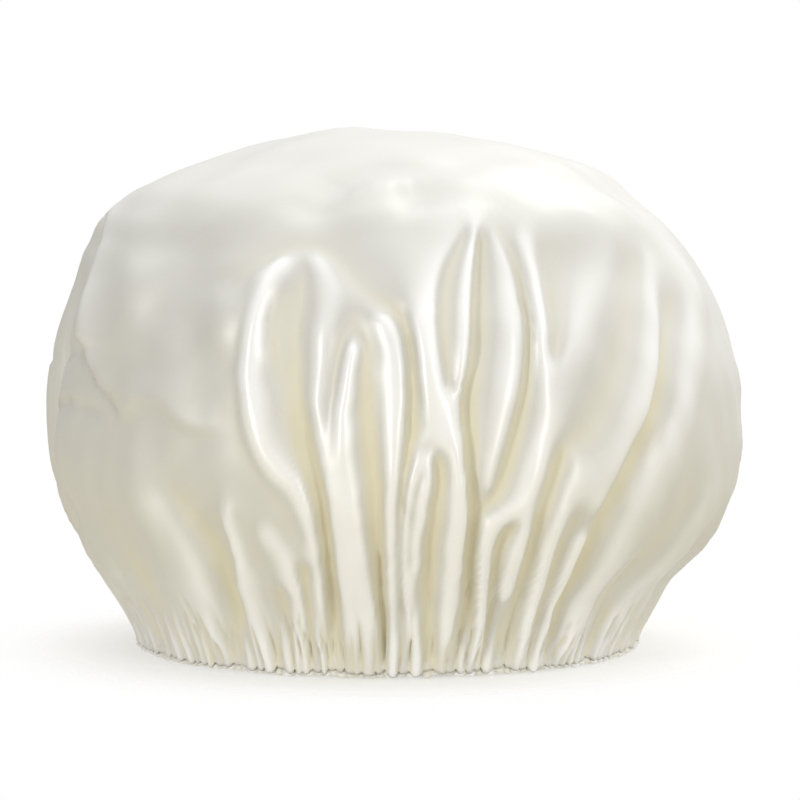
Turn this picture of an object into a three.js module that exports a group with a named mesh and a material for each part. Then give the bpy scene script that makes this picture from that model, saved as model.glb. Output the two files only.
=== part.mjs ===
// A satin shower cap. A round piece of satin and a waterproof lining of the same cut are gathered together
// into a U-shaped casing, which holds a flat elastic whose lapped ends are sewn to each other.
// Millimetres, +Z up. The cap stands on its hem, its front faces -Y, and the origin is on the floor at the
// middle of the hem.
import * as THREE from "three";

// Driving dimensions of the puffed cap.
const CAP_DIAMETER = 250; // across its widest part
const CAP_HEIGHT = 182; // from the floor to the crown
const BULGE_HEIGHT = 76; // from the floor to its widest part
const CROWN_FULLNESS = 2.4; // exponent of the upper outline: 2 is an ellipse, more is squarer
const LOWER_SWEEP = 84; // degrees that the lower outline turns through, from its widest part to the hem
const HEM_DIAMETER = 174; // middle of the elastic, which the stuffed cap holds a little stretched

// Materials of the layers, and how they lie in each other.
const SATIN_THICKNESS = 0.5;
const LINING_THICKNESS = 0.4;
const ELASTIC_WIDTH = 8;
const ELASTIC_THICKNESS = 1;
const ELASTIC_LAP = 16; // length of elastic that lies double where its ends are sewn together
const ELASTIC_LAP_RAMP = 24; // length over which the inner end steps in behind the outer one
const THREAD_DIAMETER = 0.5;
const LAYER_GAP = 0.3; // clearance between layers that touch on the real cap
const EDGE_TUCK = 5; // how deep the edges of the satin and of the lining reach into the casing

// Gathers of the casing.
const CASING_GATHERS = 30;
const CASING_RIPPLE = 1.4; // how far a gather stands out from the wall of the casing
const COLUMNS_PER_GATHER = 4;

// The puffed crown isn't quite round: seen from the front, its shoulders stand to the left of the hem, and each
// side stands in from the round by its own amount. Heights are shares of the cap's height.
const SHOULDER_LEAN = 5; // to the left
const LEAN_STARTS = 0.5;
const LEAN_FULL = 0.8;
const LEAN_ENDS = 0.98;
const SIDES = [
  { height: 0.08, left: 0, right: 0 },
  { height: 0.14, left: 1, right: 4 },
  { height: 0.25, left: 2.4, right: 1.8 },
  { height: 0.5, left: 2.2, right: 2 },
  { height: 0.7, left: 5, right: 0.6 },
  { height: 0.84, left: -1, right: 0 },
  { height: 1, left: -2, right: 0 },
];
const SHOULDER = { angle: 36, spread: 32, height: 0.84, reach: 0.1, lift: 5 }; // the right one stands full

// Main folds of the front, from left to right. Each is a line up the cloth, a ridge where its lift is above zero
// and a hollow where it is below. Its angles are degrees from the front, positive to the right, at the heights
// FOLD_LEVELS, which are shares of the way from the casing to the crown. The lift is `low` in the gathers and
// `high` among the arches above them, and it has run out at the share `top`.
const FOLD_LEVELS = [0, 0.25, 0.43, 0.58, 0.75];
const FRONT_LINES = [
  { at: [-72, -58, -58, -58, -60], low: -4, high: -1, top: 0.6 },
  { at: [-54, -47, -48, -50, -50], low: 0, high: 0, top: 0.6 },
  { at: [-39, -34, -38, -42, -42], low: -4, high: -3, top: 0.85 },
  { at: [-28, -25, -29, -32, -31], low: 1, high: 0, top: 0.6 },
  { at: [-19, -18, -20, -22, -19], low: 3.5, high: 4.5, top: 0.84 },
  { at: [-13, -12, -14, -16, -15], low: -5, high: -6, top: 0.79 },
  { at: [-10, -9, -11, -11, -11], low: 3.5, high: 3, top: 0.84 },
  { at: [-6, -7.2, -9, -8.2, -8], low: 0, high: -2.5, top: 0.68 },
  { at: [-2, -5.2, -6.6, -5.5, -5], low: 4, high: 4, top: 0.69 },
  { at: [0, -2.8, -3.5, -2.7, -2], low: -4.5, high: -4.5, top: 0.61 },
  { at: [2.5, 0, 0, 0.3, 1], low: 3, high: 3, top: 0.69 },
  { at: [6, 3, 2.8, 2.5, 4], low: 3, high: -3.5, top: 0.68 },
  { at: [9, 6.4, 5.4, 4.5, 7], low: -4, high: 0, top: 0.6 },
  { at: [13, 9, 7.8, 6.5, 10.5], low: 4, high: 5, top: 0.85 },
  { at: [16, 10.6, 9.8, 9, 13], low: 0, high: -4, top: 0.8 },
  { at: [18.5, 12.2, 11.6, 11.8, 15.5], low: 0, high: 4, top: 0.85 },
  { at: [21, 13.8, 13.6, 14.6, 18], low: -5, high: -4.5, top: 0.8 },
  { at: [22.8, 15.4, 17, 20, 21], low: 0, high: 2, top: 0.83 },
  { at: [24.6, 17, 19.4, 23, 25], low: 0, high: -3, top: 0.82 },
  { at: [27.5, 19, 23, 28, 37], low: 4, high: 4.5, top: 0.83 },
  { at: [32, 23, 27, 32.5, 43], low: -4, high: 0, top: 0.6 },
  { at: [35, 27, 32.5, 38, 49], low: 4.5, high: -5, top: 0.8 },
  { at: [38.5, 31, 38, 45, 55], low: 0, high: 2.5, top: 0.8 },
  { at: [42, 35, 43, 50, 59], low: -4, high: -4, top: 0.75 },
  { at: [47, 42, 50, 57, 66], low: 3, high: 3, top: 0.8 },
  { at: [58, 53, 60, 66, 74], low: -3.5, high: -1, top: 0.6 },
];
const BACK_VALLEYS = 10; // spread evenly over the rest of the cap
const BACK_VALLEY_DEPTHS = [7, 5, 9, 6];
const BACK_VALLEY_TOP = 0.78;
const BACK_VALLEY_FADE = 0.34; // share of the height over which a back valley runs out
const FRONT_FADE = 0.12; // the same for a front line
const FOLD_RISE = 0.12; // share of the height over which a fold comes up from the casing
const ARCHES_START = 0.33; // where a front line's lift begins to change from low to high
const ARCHES_FULL = 0.43;
const COLUMNS_PER_FOLD = 2; // at the back: one down the valley, and one that carries the billow beside it

// Facets of the round pieces.
const LOWER_STEPS = 4;
const UPPER_STEPS = 8;
const ELASTIC_STEPS = 96;
const THREAD_SIDES = 5;
const LAP_STITCH_TEETH = 5;
const LAP_STITCH_STEPS = 10; // for each tooth

const TURN = 2 * Math.PI;
const radians = (degrees) => (degrees * Math.PI) / 180;
const smooth = (t) => THREE.MathUtils.smoothstep(t, 0, 1);

// Heights in the casing, from its fold on the floor up.
const elasticBottom = SATIN_THICKNESS + LAYER_GAP;
const elasticTop = elasticBottom + ELASTIC_WIDTH;
const clothEdge = elasticTop + LAYER_GAP;
const casingTop = clothEdge + EDGE_TUCK;
const stitchHeight = clothEdge + EDGE_TUCK / 2;

// Radii in the casing, from its outer wall in. The lap of the elastic, or the two cloth edges above it,
// whichever is thicker, sets how wide the tunnel is.
const elasticRadius = HEM_DIAMETER / 2;
const lapStep = ELASTIC_THICKNESS + LAYER_GAP;
const lapDepth = ELASTIC_THICKNESS + lapStep + LAYER_GAP + THREAD_DIAMETER;
const edgesDepth = SATIN_THICKNESS + LAYER_GAP + LINING_THICKNESS;
const tunnelOut = elasticRadius + ELASTIC_THICKNESS / 2 + LAYER_GAP;
const tunnelIn = tunnelOut - Math.max(lapDepth, edgesDepth) - 2 * LAYER_GAP;
const clothRadius = tunnelOut - LAYER_GAP;
const liningInset = SATIN_THICKNESS + LAYER_GAP;

// The stations of the cap's outline, from the cloth edge in the casing up to the crown. Each has a radius, a
// height and the direction (outR, outZ) that a layer's thickness is measured along.
function outlineStations() {
  const bulge = CAP_DIAMETER / 2;
  const hemTop = casingTop + LAYER_GAP;
  const sweep = radians(LOWER_SWEEP);
  const lowerWidth = (bulge - clothRadius) / (1 - Math.cos(sweep));
  const lowerHeight = (BULGE_HEIGHT - hemTop) / Math.sin(sweep);
  const upperHeight = CAP_HEIGHT - BULGE_HEIGHT;

  const lower = (angle) => station(
    bulge - lowerWidth * (1 - Math.cos(angle)),
    BULGE_HEIGHT - lowerHeight * Math.sin(angle),
    Math.cos(angle) / lowerWidth,
    -Math.sin(angle) / lowerHeight,
  );
  const upper = (angle) => {
    const across = Math.cos(angle) ** (2 / CROWN_FULLNESS);
    const up = Math.sin(angle) ** (2 / CROWN_FULLNESS);
    return station(
      bulge * across,
      BULGE_HEIGHT + upperHeight * up,
      across ** (CROWN_FULLNESS - 1) / bulge,
      up ** (CROWN_FULLNESS - 1) / upperHeight,
    );
  };

  const stations = [station(clothRadius, clothEdge, 1, 0)];
  for (let i = 0; i < LOWER_STEPS; i++) stations.push(lower(sweep * (1 - i / LOWER_STEPS)));
  for (let i = 0; i < UPPER_STEPS; i++) stations.push(upper(((Math.PI / 2) * i) / UPPER_STEPS));
  stations[1] = mitre(stations[0], stations[1]);
  return stations;
}

function station(radius, height, outR, outZ) {
  const length = Math.hypot(outR, outZ);
  return { radius, height, outR: outR / length, outZ: outZ / length };
}

// A corner between two directions keeps the layer's thickness on both sides.
function mitre(before, corner) {
  const r = before.outR + corner.outR;
  const z = before.outZ + corner.outZ;
  const scale = 1 / (1 + before.outR * corner.outR + before.outZ * corner.outZ);
  return { ...corner, outR: r * scale, outZ: z * scale };
}

// The value of a row of numbers at a place among rising knots, eased between them.
function eased(knots, values, place) {
  const last = knots.length - 2;
  const found = knots.findIndex((_, i) => i === last || place < knots[i + 1]);
  const share = smooth((place - knots[found]) / (knots[found + 1] - knots[found]));
  return THREE.MathUtils.lerp(values[found], values[found + 1], share);
}

// The lines round the cap that its columns of points follow: those of the front, and evenly spaced ones over
// the rest, of which every second runs down a valley.
function foldLines() {
  const first = FRONT_LINES[0];
  const last = FRONT_LINES.at(-1);
  const steps = (BACK_VALLEYS + 1) * COLUMNS_PER_FOLD;
  const back = [];
  for (let i = 1; i < steps; i++) {
    const valley = i / COLUMNS_PER_FOLD;
    const lift = Number.isInteger(valley) ? -BACK_VALLEY_DEPTHS[valley % BACK_VALLEY_DEPTHS.length] : 0;
    back.push({
      at: first.at.map((angle, k) => THREE.MathUtils.lerp(last.at[k], angle + 360, i / steps)),
      low: lift,
      high: lift,
      top: BACK_VALLEY_TOP,
      fade: BACK_VALLEY_FADE,
    });
  }
  return [...FRONT_LINES, ...back];
}

// How far a line stands out from the puffed outline at a share of the way up the cloth.
function foldLift(line, share) {
  const change = smooth((share - ARCHES_START) / (ARCHES_FULL - ARCHES_START));
  const lift = THREE.MathUtils.lerp(line.low, line.high, change);
  return lift * smooth(share / FOLD_RISE) * smooth((line.top - share) / (line.fade ?? FRONT_FADE));
}

// How far the full shoulder stands out at an angle in degrees and a height.
function shoulderLift(angle, height) {
  const aside = (angle - SHOULDER.angle) / SHOULDER.spread;
  const above = (height / CAP_HEIGHT - SHOULDER.height) / SHOULDER.reach;
  return SHOULDER.lift * Math.exp(-aside * aside - above * above);
}

// Where a point of the round cap lies across it once the shoulders lean and the sides stand in.
function shiftedAcross(across, height) {
  const up = height / CAP_HEIGHT;
  const heights = SIDES.map((side) => side.height);
  const trims = SIDES.map((side) => (across < 0 ? side.left : side.right));
  const trim = eased(heights, trims, Math.max(up, heights[0]));
  const leaning = smooth((up - LEAN_STARTS) / (LEAN_FULL - LEAN_STARTS));
  const ending = smooth((LEAN_ENDS - up) / (LEAN_ENDS - LEAN_FULL));
  return across * (1 - (2 * trim) / CAP_DIAMETER) - SHOULDER_LEAN * leaning * ending;
}

// One layer of the crown, between two insets from the outside of the satin. It is a closed thin shell, open
// at the hem.
function crownLayer(outerInset, thickness) {
  const stations = outlineStations();
  const columns = foldLines();
  const hemTop = casingTop + LAYER_GAP;
  const positions = [];
  const triangles = [];

  const surface = (inset) => {
    const start = positions.length / 3;
    for (const s of stations) {
      const share = Math.max(0, (s.height - hemTop) / (CAP_HEIGHT - hemTop));
      for (const column of columns) {
        const angle = eased(FOLD_LEVELS, column.at, share);
        const depth = inset - foldLift(column, share) - shoulderLift(angle, s.height);
        const radius = s.radius - s.outR * depth;
        const across = shiftedAcross(radius * Math.sin(radians(angle)), s.height);
        positions.push(across, -radius * Math.cos(radians(angle)), s.height - s.outZ * depth);
      }
    }
    positions.push(0, 0, CAP_HEIGHT - inset);
    return start;
  };
  const outer = surface(outerInset);
  const inner = surface(outerInset + thickness);

  const count = columns.length;
  const crown = stations.length * count;
  const quad = (a, b, c, d) => triangles.push(a, b, c, a, c, d);
  for (let c = 0; c < count; c++) {
    const next = (c + 1) % count;
    for (let s = 0; s + 1 < stations.length; s++) {
      const low = s * count;
      const high = low + count;
      quad(outer + low + c, outer + low + next, outer + high + next, outer + high + c);
      quad(inner + low + c, inner + high + c, inner + high + next, inner + low + next);
    }
    const last = (stations.length - 1) * count;
    triangles.push(outer + last + c, outer + last + next, outer + crown);
    triangles.push(inner + last + next, inner + last + c, inner + crown);
    quad(inner + c, inner + next, outer + next, outer + c);
  }
  return meshGeometry(positions, triangles);
}

function meshGeometry(positions, triangles) {
  const geometry = new THREE.BufferGeometry();
  geometry.setAttribute("position", new THREE.Float32BufferAttribute(positions, 3));
  geometry.setIndex(triangles);
  geometry.computeVertexNormals();
  return geometry;
}

// A closed ring round the hem. For each of the casing's columns, section(ripple) gives the points of a closed
// outline as [radius, height], anticlockwise with the radius to the right.
function hemRing(section) {
  const columns = CASING_GATHERS * COLUMNS_PER_GATHER;
  const positions = [];
  const triangles = [];
  let sides = 0;
  for (let c = 0; c < columns; c++) {
    const ripple = (CASING_RIPPLE * (1 - Math.cos((TURN * c) / COLUMNS_PER_GATHER))) / 2;
    const azimuth = (TURN * c) / columns;
    const points = section(ripple);
    sides = points.length;
    for (const [radius, height] of points) {
      positions.push(radius * Math.sin(azimuth), -radius * Math.cos(azimuth), height);
    }
  }
  for (let c = 0; c < columns; c++) {
    const here = c * sides;
    const next = ((c + 1) % columns) * sides;
    for (let i = 0; i < sides; i++) {
      const j = (i + 1) % sides;
      triangles.push(here + i, next + i, next + j, here + i, next + j, here + j);
    }
  }
  return meshGeometry(positions, triangles);
}

// The casing: two gathered walls and the fold that the cap stands on.
function casingGeometry() {
  return hemRing((ripple) => {
    const outside = tunnelOut + SATIN_THICKNESS + ripple;
    const inside = tunnelIn - SATIN_THICKNESS - ripple;
    return [
      [inside, 0],
      [outside, 0],
      [outside, casingTop],
      [outside - SATIN_THICKNESS, casingTop],
      [outside - SATIN_THICKNESS, SATIN_THICKNESS],
      [inside + SATIN_THICKNESS, SATIN_THICKNESS],
      [inside + SATIN_THICKNESS, casingTop],
      [inside, casingTop],
    ];
  });
}

// A row of thread round the casing, lying on its outer or its inner wall.
function seamThread(onOuterWall) {
  const radius = THREAD_DIAMETER / 2;
  const stand = SATIN_THICKNESS + LAYER_GAP + radius;
  return hemRing((ripple) => {
    const middle = onOuterWall ? tunnelOut + stand + ripple : tunnelIn - stand - ripple;
    return Array.from({ length: THREAD_SIDES }, (_, i) => {
      const angle = (TURN * i) / THREAD_SIDES;
      return [middle + radius * Math.cos(angle), stitchHeight + radius * Math.sin(angle)];
    });
  });
}

// The elastic: one flat strip bent round the hem, whose far end steps in and laps behind its start.
const lapAngle = ELASTIC_LAP / elasticRadius;

function elasticGeometry() {
  const end = TURN + lapAngle;
  const ramp = ELASTIC_LAP_RAMP / elasticRadius;
  const edge = (offset) => (angle) => {
    const stepped = smooth((angle - (TURN - ramp)) / ramp);
    const radius = elasticRadius + offset - lapStep * stepped;
    return new THREE.Vector2(radius * Math.cos(angle), radius * Math.sin(angle));
  };
  const angles = Array.from({ length: ELASTIC_STEPS + 1 }, (_, i) => (end * i) / ELASTIC_STEPS);
  const outerEdge = angles.map(edge(ELASTIC_THICKNESS / 2));
  const innerEdge = angles.map(edge(-ELASTIC_THICKNESS / 2));
  const strip = new THREE.Shape([...outerEdge, ...innerEdge.reverse()]);
  return new THREE.ExtrudeGeometry(strip, { depth: ELASTIC_WIDTH, bevelEnabled: false });
}

// The zigzag of thread that holds the two ends of the elastic together, on the inner face of the lap.
function lapStitchGeometry() {
  const radius = THREAD_DIAMETER / 2;
  const reach = elasticRadius - ELASTIC_THICKNESS / 2 - lapStep - LAYER_GAP - radius;
  const low = radius;
  const high = ELASTIC_WIDTH - radius;
  const points = Array.from({ length: 2 * LAP_STITCH_TEETH + 1 }, (_, i) => {
    const angle = (lapAngle * (i + 1)) / (2 * LAP_STITCH_TEETH + 2);
    return new THREE.Vector3(reach * Math.cos(angle), reach * Math.sin(angle), i % 2 ? high : low);
  });
  const section = new THREE.Shape(
    Array.from({ length: THREAD_SIDES }, (_, i) => {
      const angle = (TURN * i) / THREAD_SIDES;
      return new THREE.Vector2(radius * Math.cos(angle), radius * Math.sin(angle));
    }),
  );
  return new THREE.ExtrudeGeometry(section, {
    steps: 2 * LAP_STITCH_TEETH * (LAP_STITCH_STEPS / 2),
    extrudePath: new THREE.CatmullRomCurve3(points),
    bevelEnabled: false,
  });
}

// Finishes.
const satin = new THREE.MeshStandardMaterial({ color: 0xf1ecdd, roughness: 0.35, side: THREE.DoubleSide });
const film = new THREE.MeshStandardMaterial({ color: 0xf4f4f0, roughness: 0.45, side: THREE.DoubleSide });
const webbing = new THREE.MeshStandardMaterial({ color: 0xf2f0ea, roughness: 0.85 });
const thread = new THREE.MeshStandardMaterial({ color: 0xf0ebdc, roughness: 0.6 });

function piece(name, geometry, material) {
  const mesh = new THREE.Mesh(geometry, material);
  mesh.name = name;
  return mesh;
}

// The hem: the casing, the threads that close it, and the elastic with its lap.
const elastic = new THREE.Group();
elastic.add(
  piece("elastic_band", elasticGeometry(), webbing),
  piece("elastic_lap_stitch", lapStitchGeometry(), thread),
);
elastic.position.z = elasticBottom;
elastic.rotation.z = Math.PI / 2; // the lap is at the back

const hem = new THREE.Group();
hem.add(
  piece("hem_casing", casingGeometry(), satin),
  piece("casing_needle_thread", seamThread(true), thread),
  piece("casing_bobbin_thread", seamThread(false), thread),
  elastic,
);

// The crown: the satin, and the lining that lies against its inside.
const crown = new THREE.Group();
crown.add(
  piece("outer_shell", crownLayer(0, SATIN_THICKNESS), satin),
  piece("waterproof_lining", crownLayer(liningInset, LINING_THICKNESS), film),
);

const showerCap = new THREE.Group();
showerCap.add(crown, hem);

export default showerCap;
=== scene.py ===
"""Looks of an ivory satin shower cap that stands puffed on its gathered elastic hem.

The cloth is laid out on the side outline of the puffed cap and then folded. The crests and feet of the folds
of the front are drawn in pixels of the 800 by 800 photograph and cast onto that outline, and a springy cloth
settles on them. The creases of the left side and the soft forms of the crown follow paths of their own, and
the folds of the back follow a seeded rule.

Sizes are in millimetres until a mesh is made, and meshes are in metres. A field whose name ends in "from"
holds where something begins to ease in, and the length over which it does.
"""

import logging
import math
from dataclasses import dataclass, field
from enum import Enum

import bmesh
import bpy
import numpy as np
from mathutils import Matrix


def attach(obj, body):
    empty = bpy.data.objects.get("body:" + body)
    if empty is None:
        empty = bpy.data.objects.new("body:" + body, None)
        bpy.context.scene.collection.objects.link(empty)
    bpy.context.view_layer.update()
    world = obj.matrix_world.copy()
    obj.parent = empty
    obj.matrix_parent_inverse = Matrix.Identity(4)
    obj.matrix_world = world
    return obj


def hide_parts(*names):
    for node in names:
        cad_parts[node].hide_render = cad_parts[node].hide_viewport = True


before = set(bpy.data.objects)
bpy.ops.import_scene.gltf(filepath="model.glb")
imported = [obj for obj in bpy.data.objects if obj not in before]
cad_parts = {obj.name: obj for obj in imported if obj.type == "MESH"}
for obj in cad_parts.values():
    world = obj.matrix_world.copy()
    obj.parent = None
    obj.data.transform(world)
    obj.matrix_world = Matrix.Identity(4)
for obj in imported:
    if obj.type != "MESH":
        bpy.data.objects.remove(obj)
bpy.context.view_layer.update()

LOG = logging.getLogger("shower_cap")
MM = 0.001
TURN = 2.0 * math.pi
CUT_SCALE = 0.1
LEAST_RADIUS = 20.0
CALM_SIDES = math.radians(15.0)
EDGE_ROUNDING = 0.6
FOOT_ROUNDING = 0.02
Array = np.ndarray
Pair = tuple[float, float]
Three = tuple[float, float, float]
Floats = tuple[float, ...]
Path = tuple[Pair, ...]
Object = bpy.types.Object
Socket = bpy.types.NodeSocket


def smooth(t: Array) -> Array:
    """Ease from 0 to 1 as t goes from 0 to 1."""
    t = np.clip(t, 0.0, 1.0)
    return t * t * (3.0 - 2.0 * t)


def ease(value: Array, start: float, length: Array | float) -> Array:
    """Ease from 0 to 1 as a value goes on from a start over a length."""
    return smooth((value - start) / length)


def faded(share: Array, fade: Pair) -> Array:
    """Strength along a path, which fades in from its top and out to its foot."""
    return smooth(share / fade[0]) * smooth((1.0 - share) / fade[1])


def wrap(angle: Array) -> Array:
    """Bring an angle to between minus and plus half a turn."""
    return (angle + math.pi) % TURN - math.pi


def side_share(angle: Array) -> Array:
    """How near an angle is to the left or right edge of the cap in the photograph, from 0 to 1."""
    return np.exp(-(((np.abs(angle) - math.pi / 2.0) / CALM_SIDES) ** 2))


def ring_points(radius: Array | float, angle: Array, level: Array) -> Array:
    """Points at a distance from the upright axis, an angle from the front and a height."""
    return np.stack((radius * np.sin(angle), -radius * np.cos(angle), level), axis=-1)


@dataclass
class Outline:
    """Side outline of the puffed cap, turned about its upright axis.

    Distance along it counts from the top of the casing, so it is below zero inside the casing.
    """

    widest_radius: float = 125.0
    height: float = 181.5
    bulge_height: float = 76.0
    fullness: float = 2.46
    lower_sweep: float = math.radians(84.0)
    hem_radius: float = 87.3
    hem_height: float = 14.5
    belly_lean: float = 2.4
    shoulder_lean: float = -5.0
    belly_from: Pair = (24.0, 28.0)
    shoulder_from: Pair = (92.0, 55.0)
    crown_from: Pair = (158.0, 22.0)
    turn_from: Pair = (0.5, 5.0)
    trim_start: float = 0.9
    trim_levels: Floats = (14.0, 26.0, 40.0, 62.0, 90.0, 112.0, 130.0, 142.0, 153.0, 164.0)
    left_trim: Floats = (1.4, 0.8, 2.6, 1.6, 2.2, 3.7, 5.2, 3.6, -0.8, -3.0)
    right_trim: Floats = (4.8, 4.4, 1.9, 1.4, 2.0, 1.8, 0.6, 0.2, -0.4, 0.0)
    steps: int = 700
    distance: Array = field(init=False, repr=False)
    radius: Array = field(init=False, repr=False)
    level: Array = field(init=False, repr=False)
    out_radial: Array = field(init=False, repr=False)
    out_up: Array = field(init=False, repr=False)

    def __post_init__(self) -> None:
        """Sample the outline closely from the casing to the crown."""
        low = np.linspace(self.lower_sweep, 0.0, self.steps)[:-1]
        wide = (self.widest_radius - self.hem_radius) / (1.0 - math.cos(self.lower_sweep))
        tall = (self.bulge_height - self.hem_height) / math.sin(self.lower_sweep)
        high = np.linspace(0.0, math.pi / 2.0, 2 * self.steps)
        power = 2.0 / self.fullness
        self.radius = np.concatenate(
            (
                self.widest_radius - wide * (1.0 - np.cos(low)),
                self.widest_radius * np.abs(np.cos(high)) ** power,
            )
        )
        self.radius[-1] = 0.0
        self.level = np.concatenate(
            (
                self.bulge_height - tall * np.sin(low),
                self.bulge_height + (self.height - self.bulge_height) * np.sin(high) ** power,
            )
        )
        step = np.hypot(np.diff(self.radius), np.diff(self.level))
        self.distance = np.concatenate(([0.0], np.cumsum(step)))
        along_r = np.gradient(self.radius, self.distance)
        along_z = np.gradient(self.level, self.distance)
        size = np.hypot(along_r, along_z)
        self.out_radial = along_z / size
        self.out_up = -along_r / size

    @property
    def length(self) -> float:
        """Distance from the casing to the crown."""
        return float(self.distance[-1])

    def lean_at(self, level: Array) -> Array:
        """Sideways shift of the cap's rings: the belly leans right of the hem, the shoulders left of it."""
        belly = ease(level, *self.belly_from)
        shoulder = ease(level, *self.shoulder_from) * (1.0 - ease(level, *self.crown_from))
        return self.belly_lean * belly + self.shoulder_lean * shoulder

    def squeeze(self, across: Array, level: Array) -> Array:
        """Scale across the cap, as its left and right sides stand in by different amounts at each height."""
        knots = np.array(self.trim_levels)
        place = np.clip(np.searchsorted(knots, level) - 1, 0, len(knots) - 2)
        share = smooth((level - knots[place]) / (knots[place + 1] - knots[place]))
        trims = [np.array(side)[place] * (1.0 - share) + np.array(side)[place + 1] * share
                 for side in (self.left_trim, self.right_trim)]
        trim = np.where(across < 0.0, trims[0], trims[1])
        return 1.0 - trim * smooth(level / self.hem_height - self.trim_start) / self.widest_radius

    def point(self, angle: Array, along: Array, lift: Array) -> Array:
        """Points of the cloth.

        Args:
            angle: Angle from the front, positive to the right in the photograph.
            along: Distance along the outline.
            lift: How far the cloth stands out from the outline.

        Returns:
            An array of points, in millimetres.
        """
        inside = np.minimum(along, 0.0)
        on = np.maximum(along, 0.0)
        radius = np.interp(on, self.distance, self.radius)
        level = np.interp(on, self.distance, self.level) + inside
        turned = ease(on, *self.turn_from)
        out_r = np.interp(on, self.distance, self.out_radial) * turned + (1.0 - turned)
        out_z = np.interp(on, self.distance, self.out_up) * turned
        reach = radius + out_r * lift
        height = level + out_z * lift
        across = reach * np.sin(angle)
        across = self.lean_at(level) + across * self.squeeze(across, level)
        return np.stack((across, -reach * np.cos(angle), height), axis=-1)

    def radius_at(self, level: Array) -> Array:
        """Radius at a height, without folds."""
        return np.interp(level, self.level, self.radius, right=0.0)


@dataclass(frozen=True)
class PhotoCamera:
    """The camera of the photograph."""

    lens: float = 150.0
    sensor: float = 36.0
    image: float = 800.0
    distance: float = 1190.5
    elevation: float = math.radians(3.7)
    aim: Three = (4.3, 0.0, 87.2)
    search: Pair = (-150.0, 40.0)
    search_steps: int = 761
    clip_end: float = 20.0

    @property
    def focal(self) -> float:
        """Focal length in pixels."""
        return self.image * self.lens / self.sensor

    @property
    def place(self) -> Array:
        """Where the camera stands."""
        return np.array(self.aim) - self.distance * self.view

    @property
    def view(self) -> Array:
        """Direction that the camera looks along."""
        return np.array((0.0, math.cos(self.elevation), -math.sin(self.elevation)))

    def cast(self, pixels: Array, outline: Outline) -> tuple[Array, Array]:
        """Find where pixels lie on the cap's outline.

        Args:
            pixels: Columns and rows of the photograph, one pair in each row of the array.
            outline: The cap's outline.

        Returns:
            The angle from the front and the distance along the outline of each pixel.
        """
        up = np.array((0.0, math.sin(self.elevation), math.cos(self.elevation)))
        right = np.array((1.0, 0.0, 0.0))
        middle = self.image / 2.0
        ray = (
            self.view
            + ((pixels[:, :1] - middle) / self.focal) * right
            + ((middle - pixels[:, 1:]) / self.focal) * up
        )
        reach = np.linspace(self.distance + self.search[0], self.distance + self.search[1], self.search_steps)
        spots = self.place + reach[None, :, None] * ray[:, None, :]
        level = np.clip(spots[..., 2], outline.hem_height, outline.height)
        across = spots[..., 0] - outline.lean_at(level)
        across = across / outline.squeeze(across, level)
        off = np.hypot(across, spots[..., 1]) - outline.radius_at(level)
        off += np.abs(spots[..., 2] - level)
        inside = off < 0.0
        first = np.where(inside.any(axis=1), inside.argmax(axis=1), np.abs(off).argmin(axis=1))
        rows = np.arange(len(pixels))
        angle = np.arctan2(across[rows, first], -spots[rows, first, 1])
        along = np.interp(level[rows, first], outline.level, outline.distance)
        return angle, along

    def build(self) -> Object:
        """Make the camera and take the picture from it."""
        data = bpy.data.cameras.new("photo_camera")
        data.lens = self.lens
        data.sensor_width = self.sensor
        data.clip_end = self.clip_end
        camera = bpy.data.objects.new("photo_camera", data)
        camera.location = self.place * MM
        camera.rotation_euler = (math.pi / 2.0 - self.elevation, 0.0, 0.0)
        bpy.context.scene.collection.objects.link(camera)
        bpy.context.scene.camera = camera
        return camera


class Section(Enum):
    """Shape of a fold cut across its path."""

    ROLL = "round, as cloth that bends freely"
    CREASE = "sharp along the path, as pressed cloth"
    TENT = "straight sides up to a soft edge"

    def height(self, offset: Array, width: Array) -> Array:
        """Height share of the fold.

        Args:
            offset: Distance from the path.
            width: Half width of the fold there.

        Returns:
            A share from 0, off the fold, to 1, on its path.
        """
        ratio = np.abs(offset) / width
        if self is Section.ROLL:
            return np.exp(-(ratio**2))
        edge = EDGE_ROUNDING / width
        slope = np.sqrt(ratio**2 + edge**2) - edge
        if self is Section.CREASE:
            return np.exp(-slope)
        return 0.5 * (1.0 - slope + np.sqrt((1.0 - slope) ** 2 + FOOT_ROUNDING))


@dataclass(frozen=True)
class Fold:
    """One ridge or hollow, from its top to its foot.

    A path holds pixels of the photograph, or angles in degrees with distances along the outline.
    """

    path: Path
    lift: float
    left: float
    right: float
    section: Section = Section.ROLL
    widths: Floats = (1.0, 1.0)
    fade: Pair = (0.25, 0.15)
    lean: float = 0.0
    calm: float = 1.0
    crisp: bool = False
    on_photo: bool = True


def curve_through(points: Path, spacing: float) -> Array:
    """Draw a smooth line through points.

    Args:
        points: The points, two numbers each.
        spacing: Rough distance between the points of the line.

    Returns:
        The points of the line.
    """
    knots = np.array(points, float)
    padded = np.vstack((2 * knots[0] - knots[1], knots, 2 * knots[-1] - knots[-2]))
    line = []
    for i in range(1, len(padded) - 2):
        before, start, end, after = padded[i - 1 : i + 3]
        count = max(2, int(np.linalg.norm(end - start) / spacing))
        t = np.linspace(0.0, 1.0, count, endpoint=False)[:, None]
        line.append(
            0.5
            * (
                2 * start
                + (end - before) * t
                + (2 * before - 5 * start + 4 * end - after) * t**2
                + (3 * start - before - 3 * end + after) * t**3
            )
        )
    return np.vstack((*line, knots[-1]))


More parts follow.
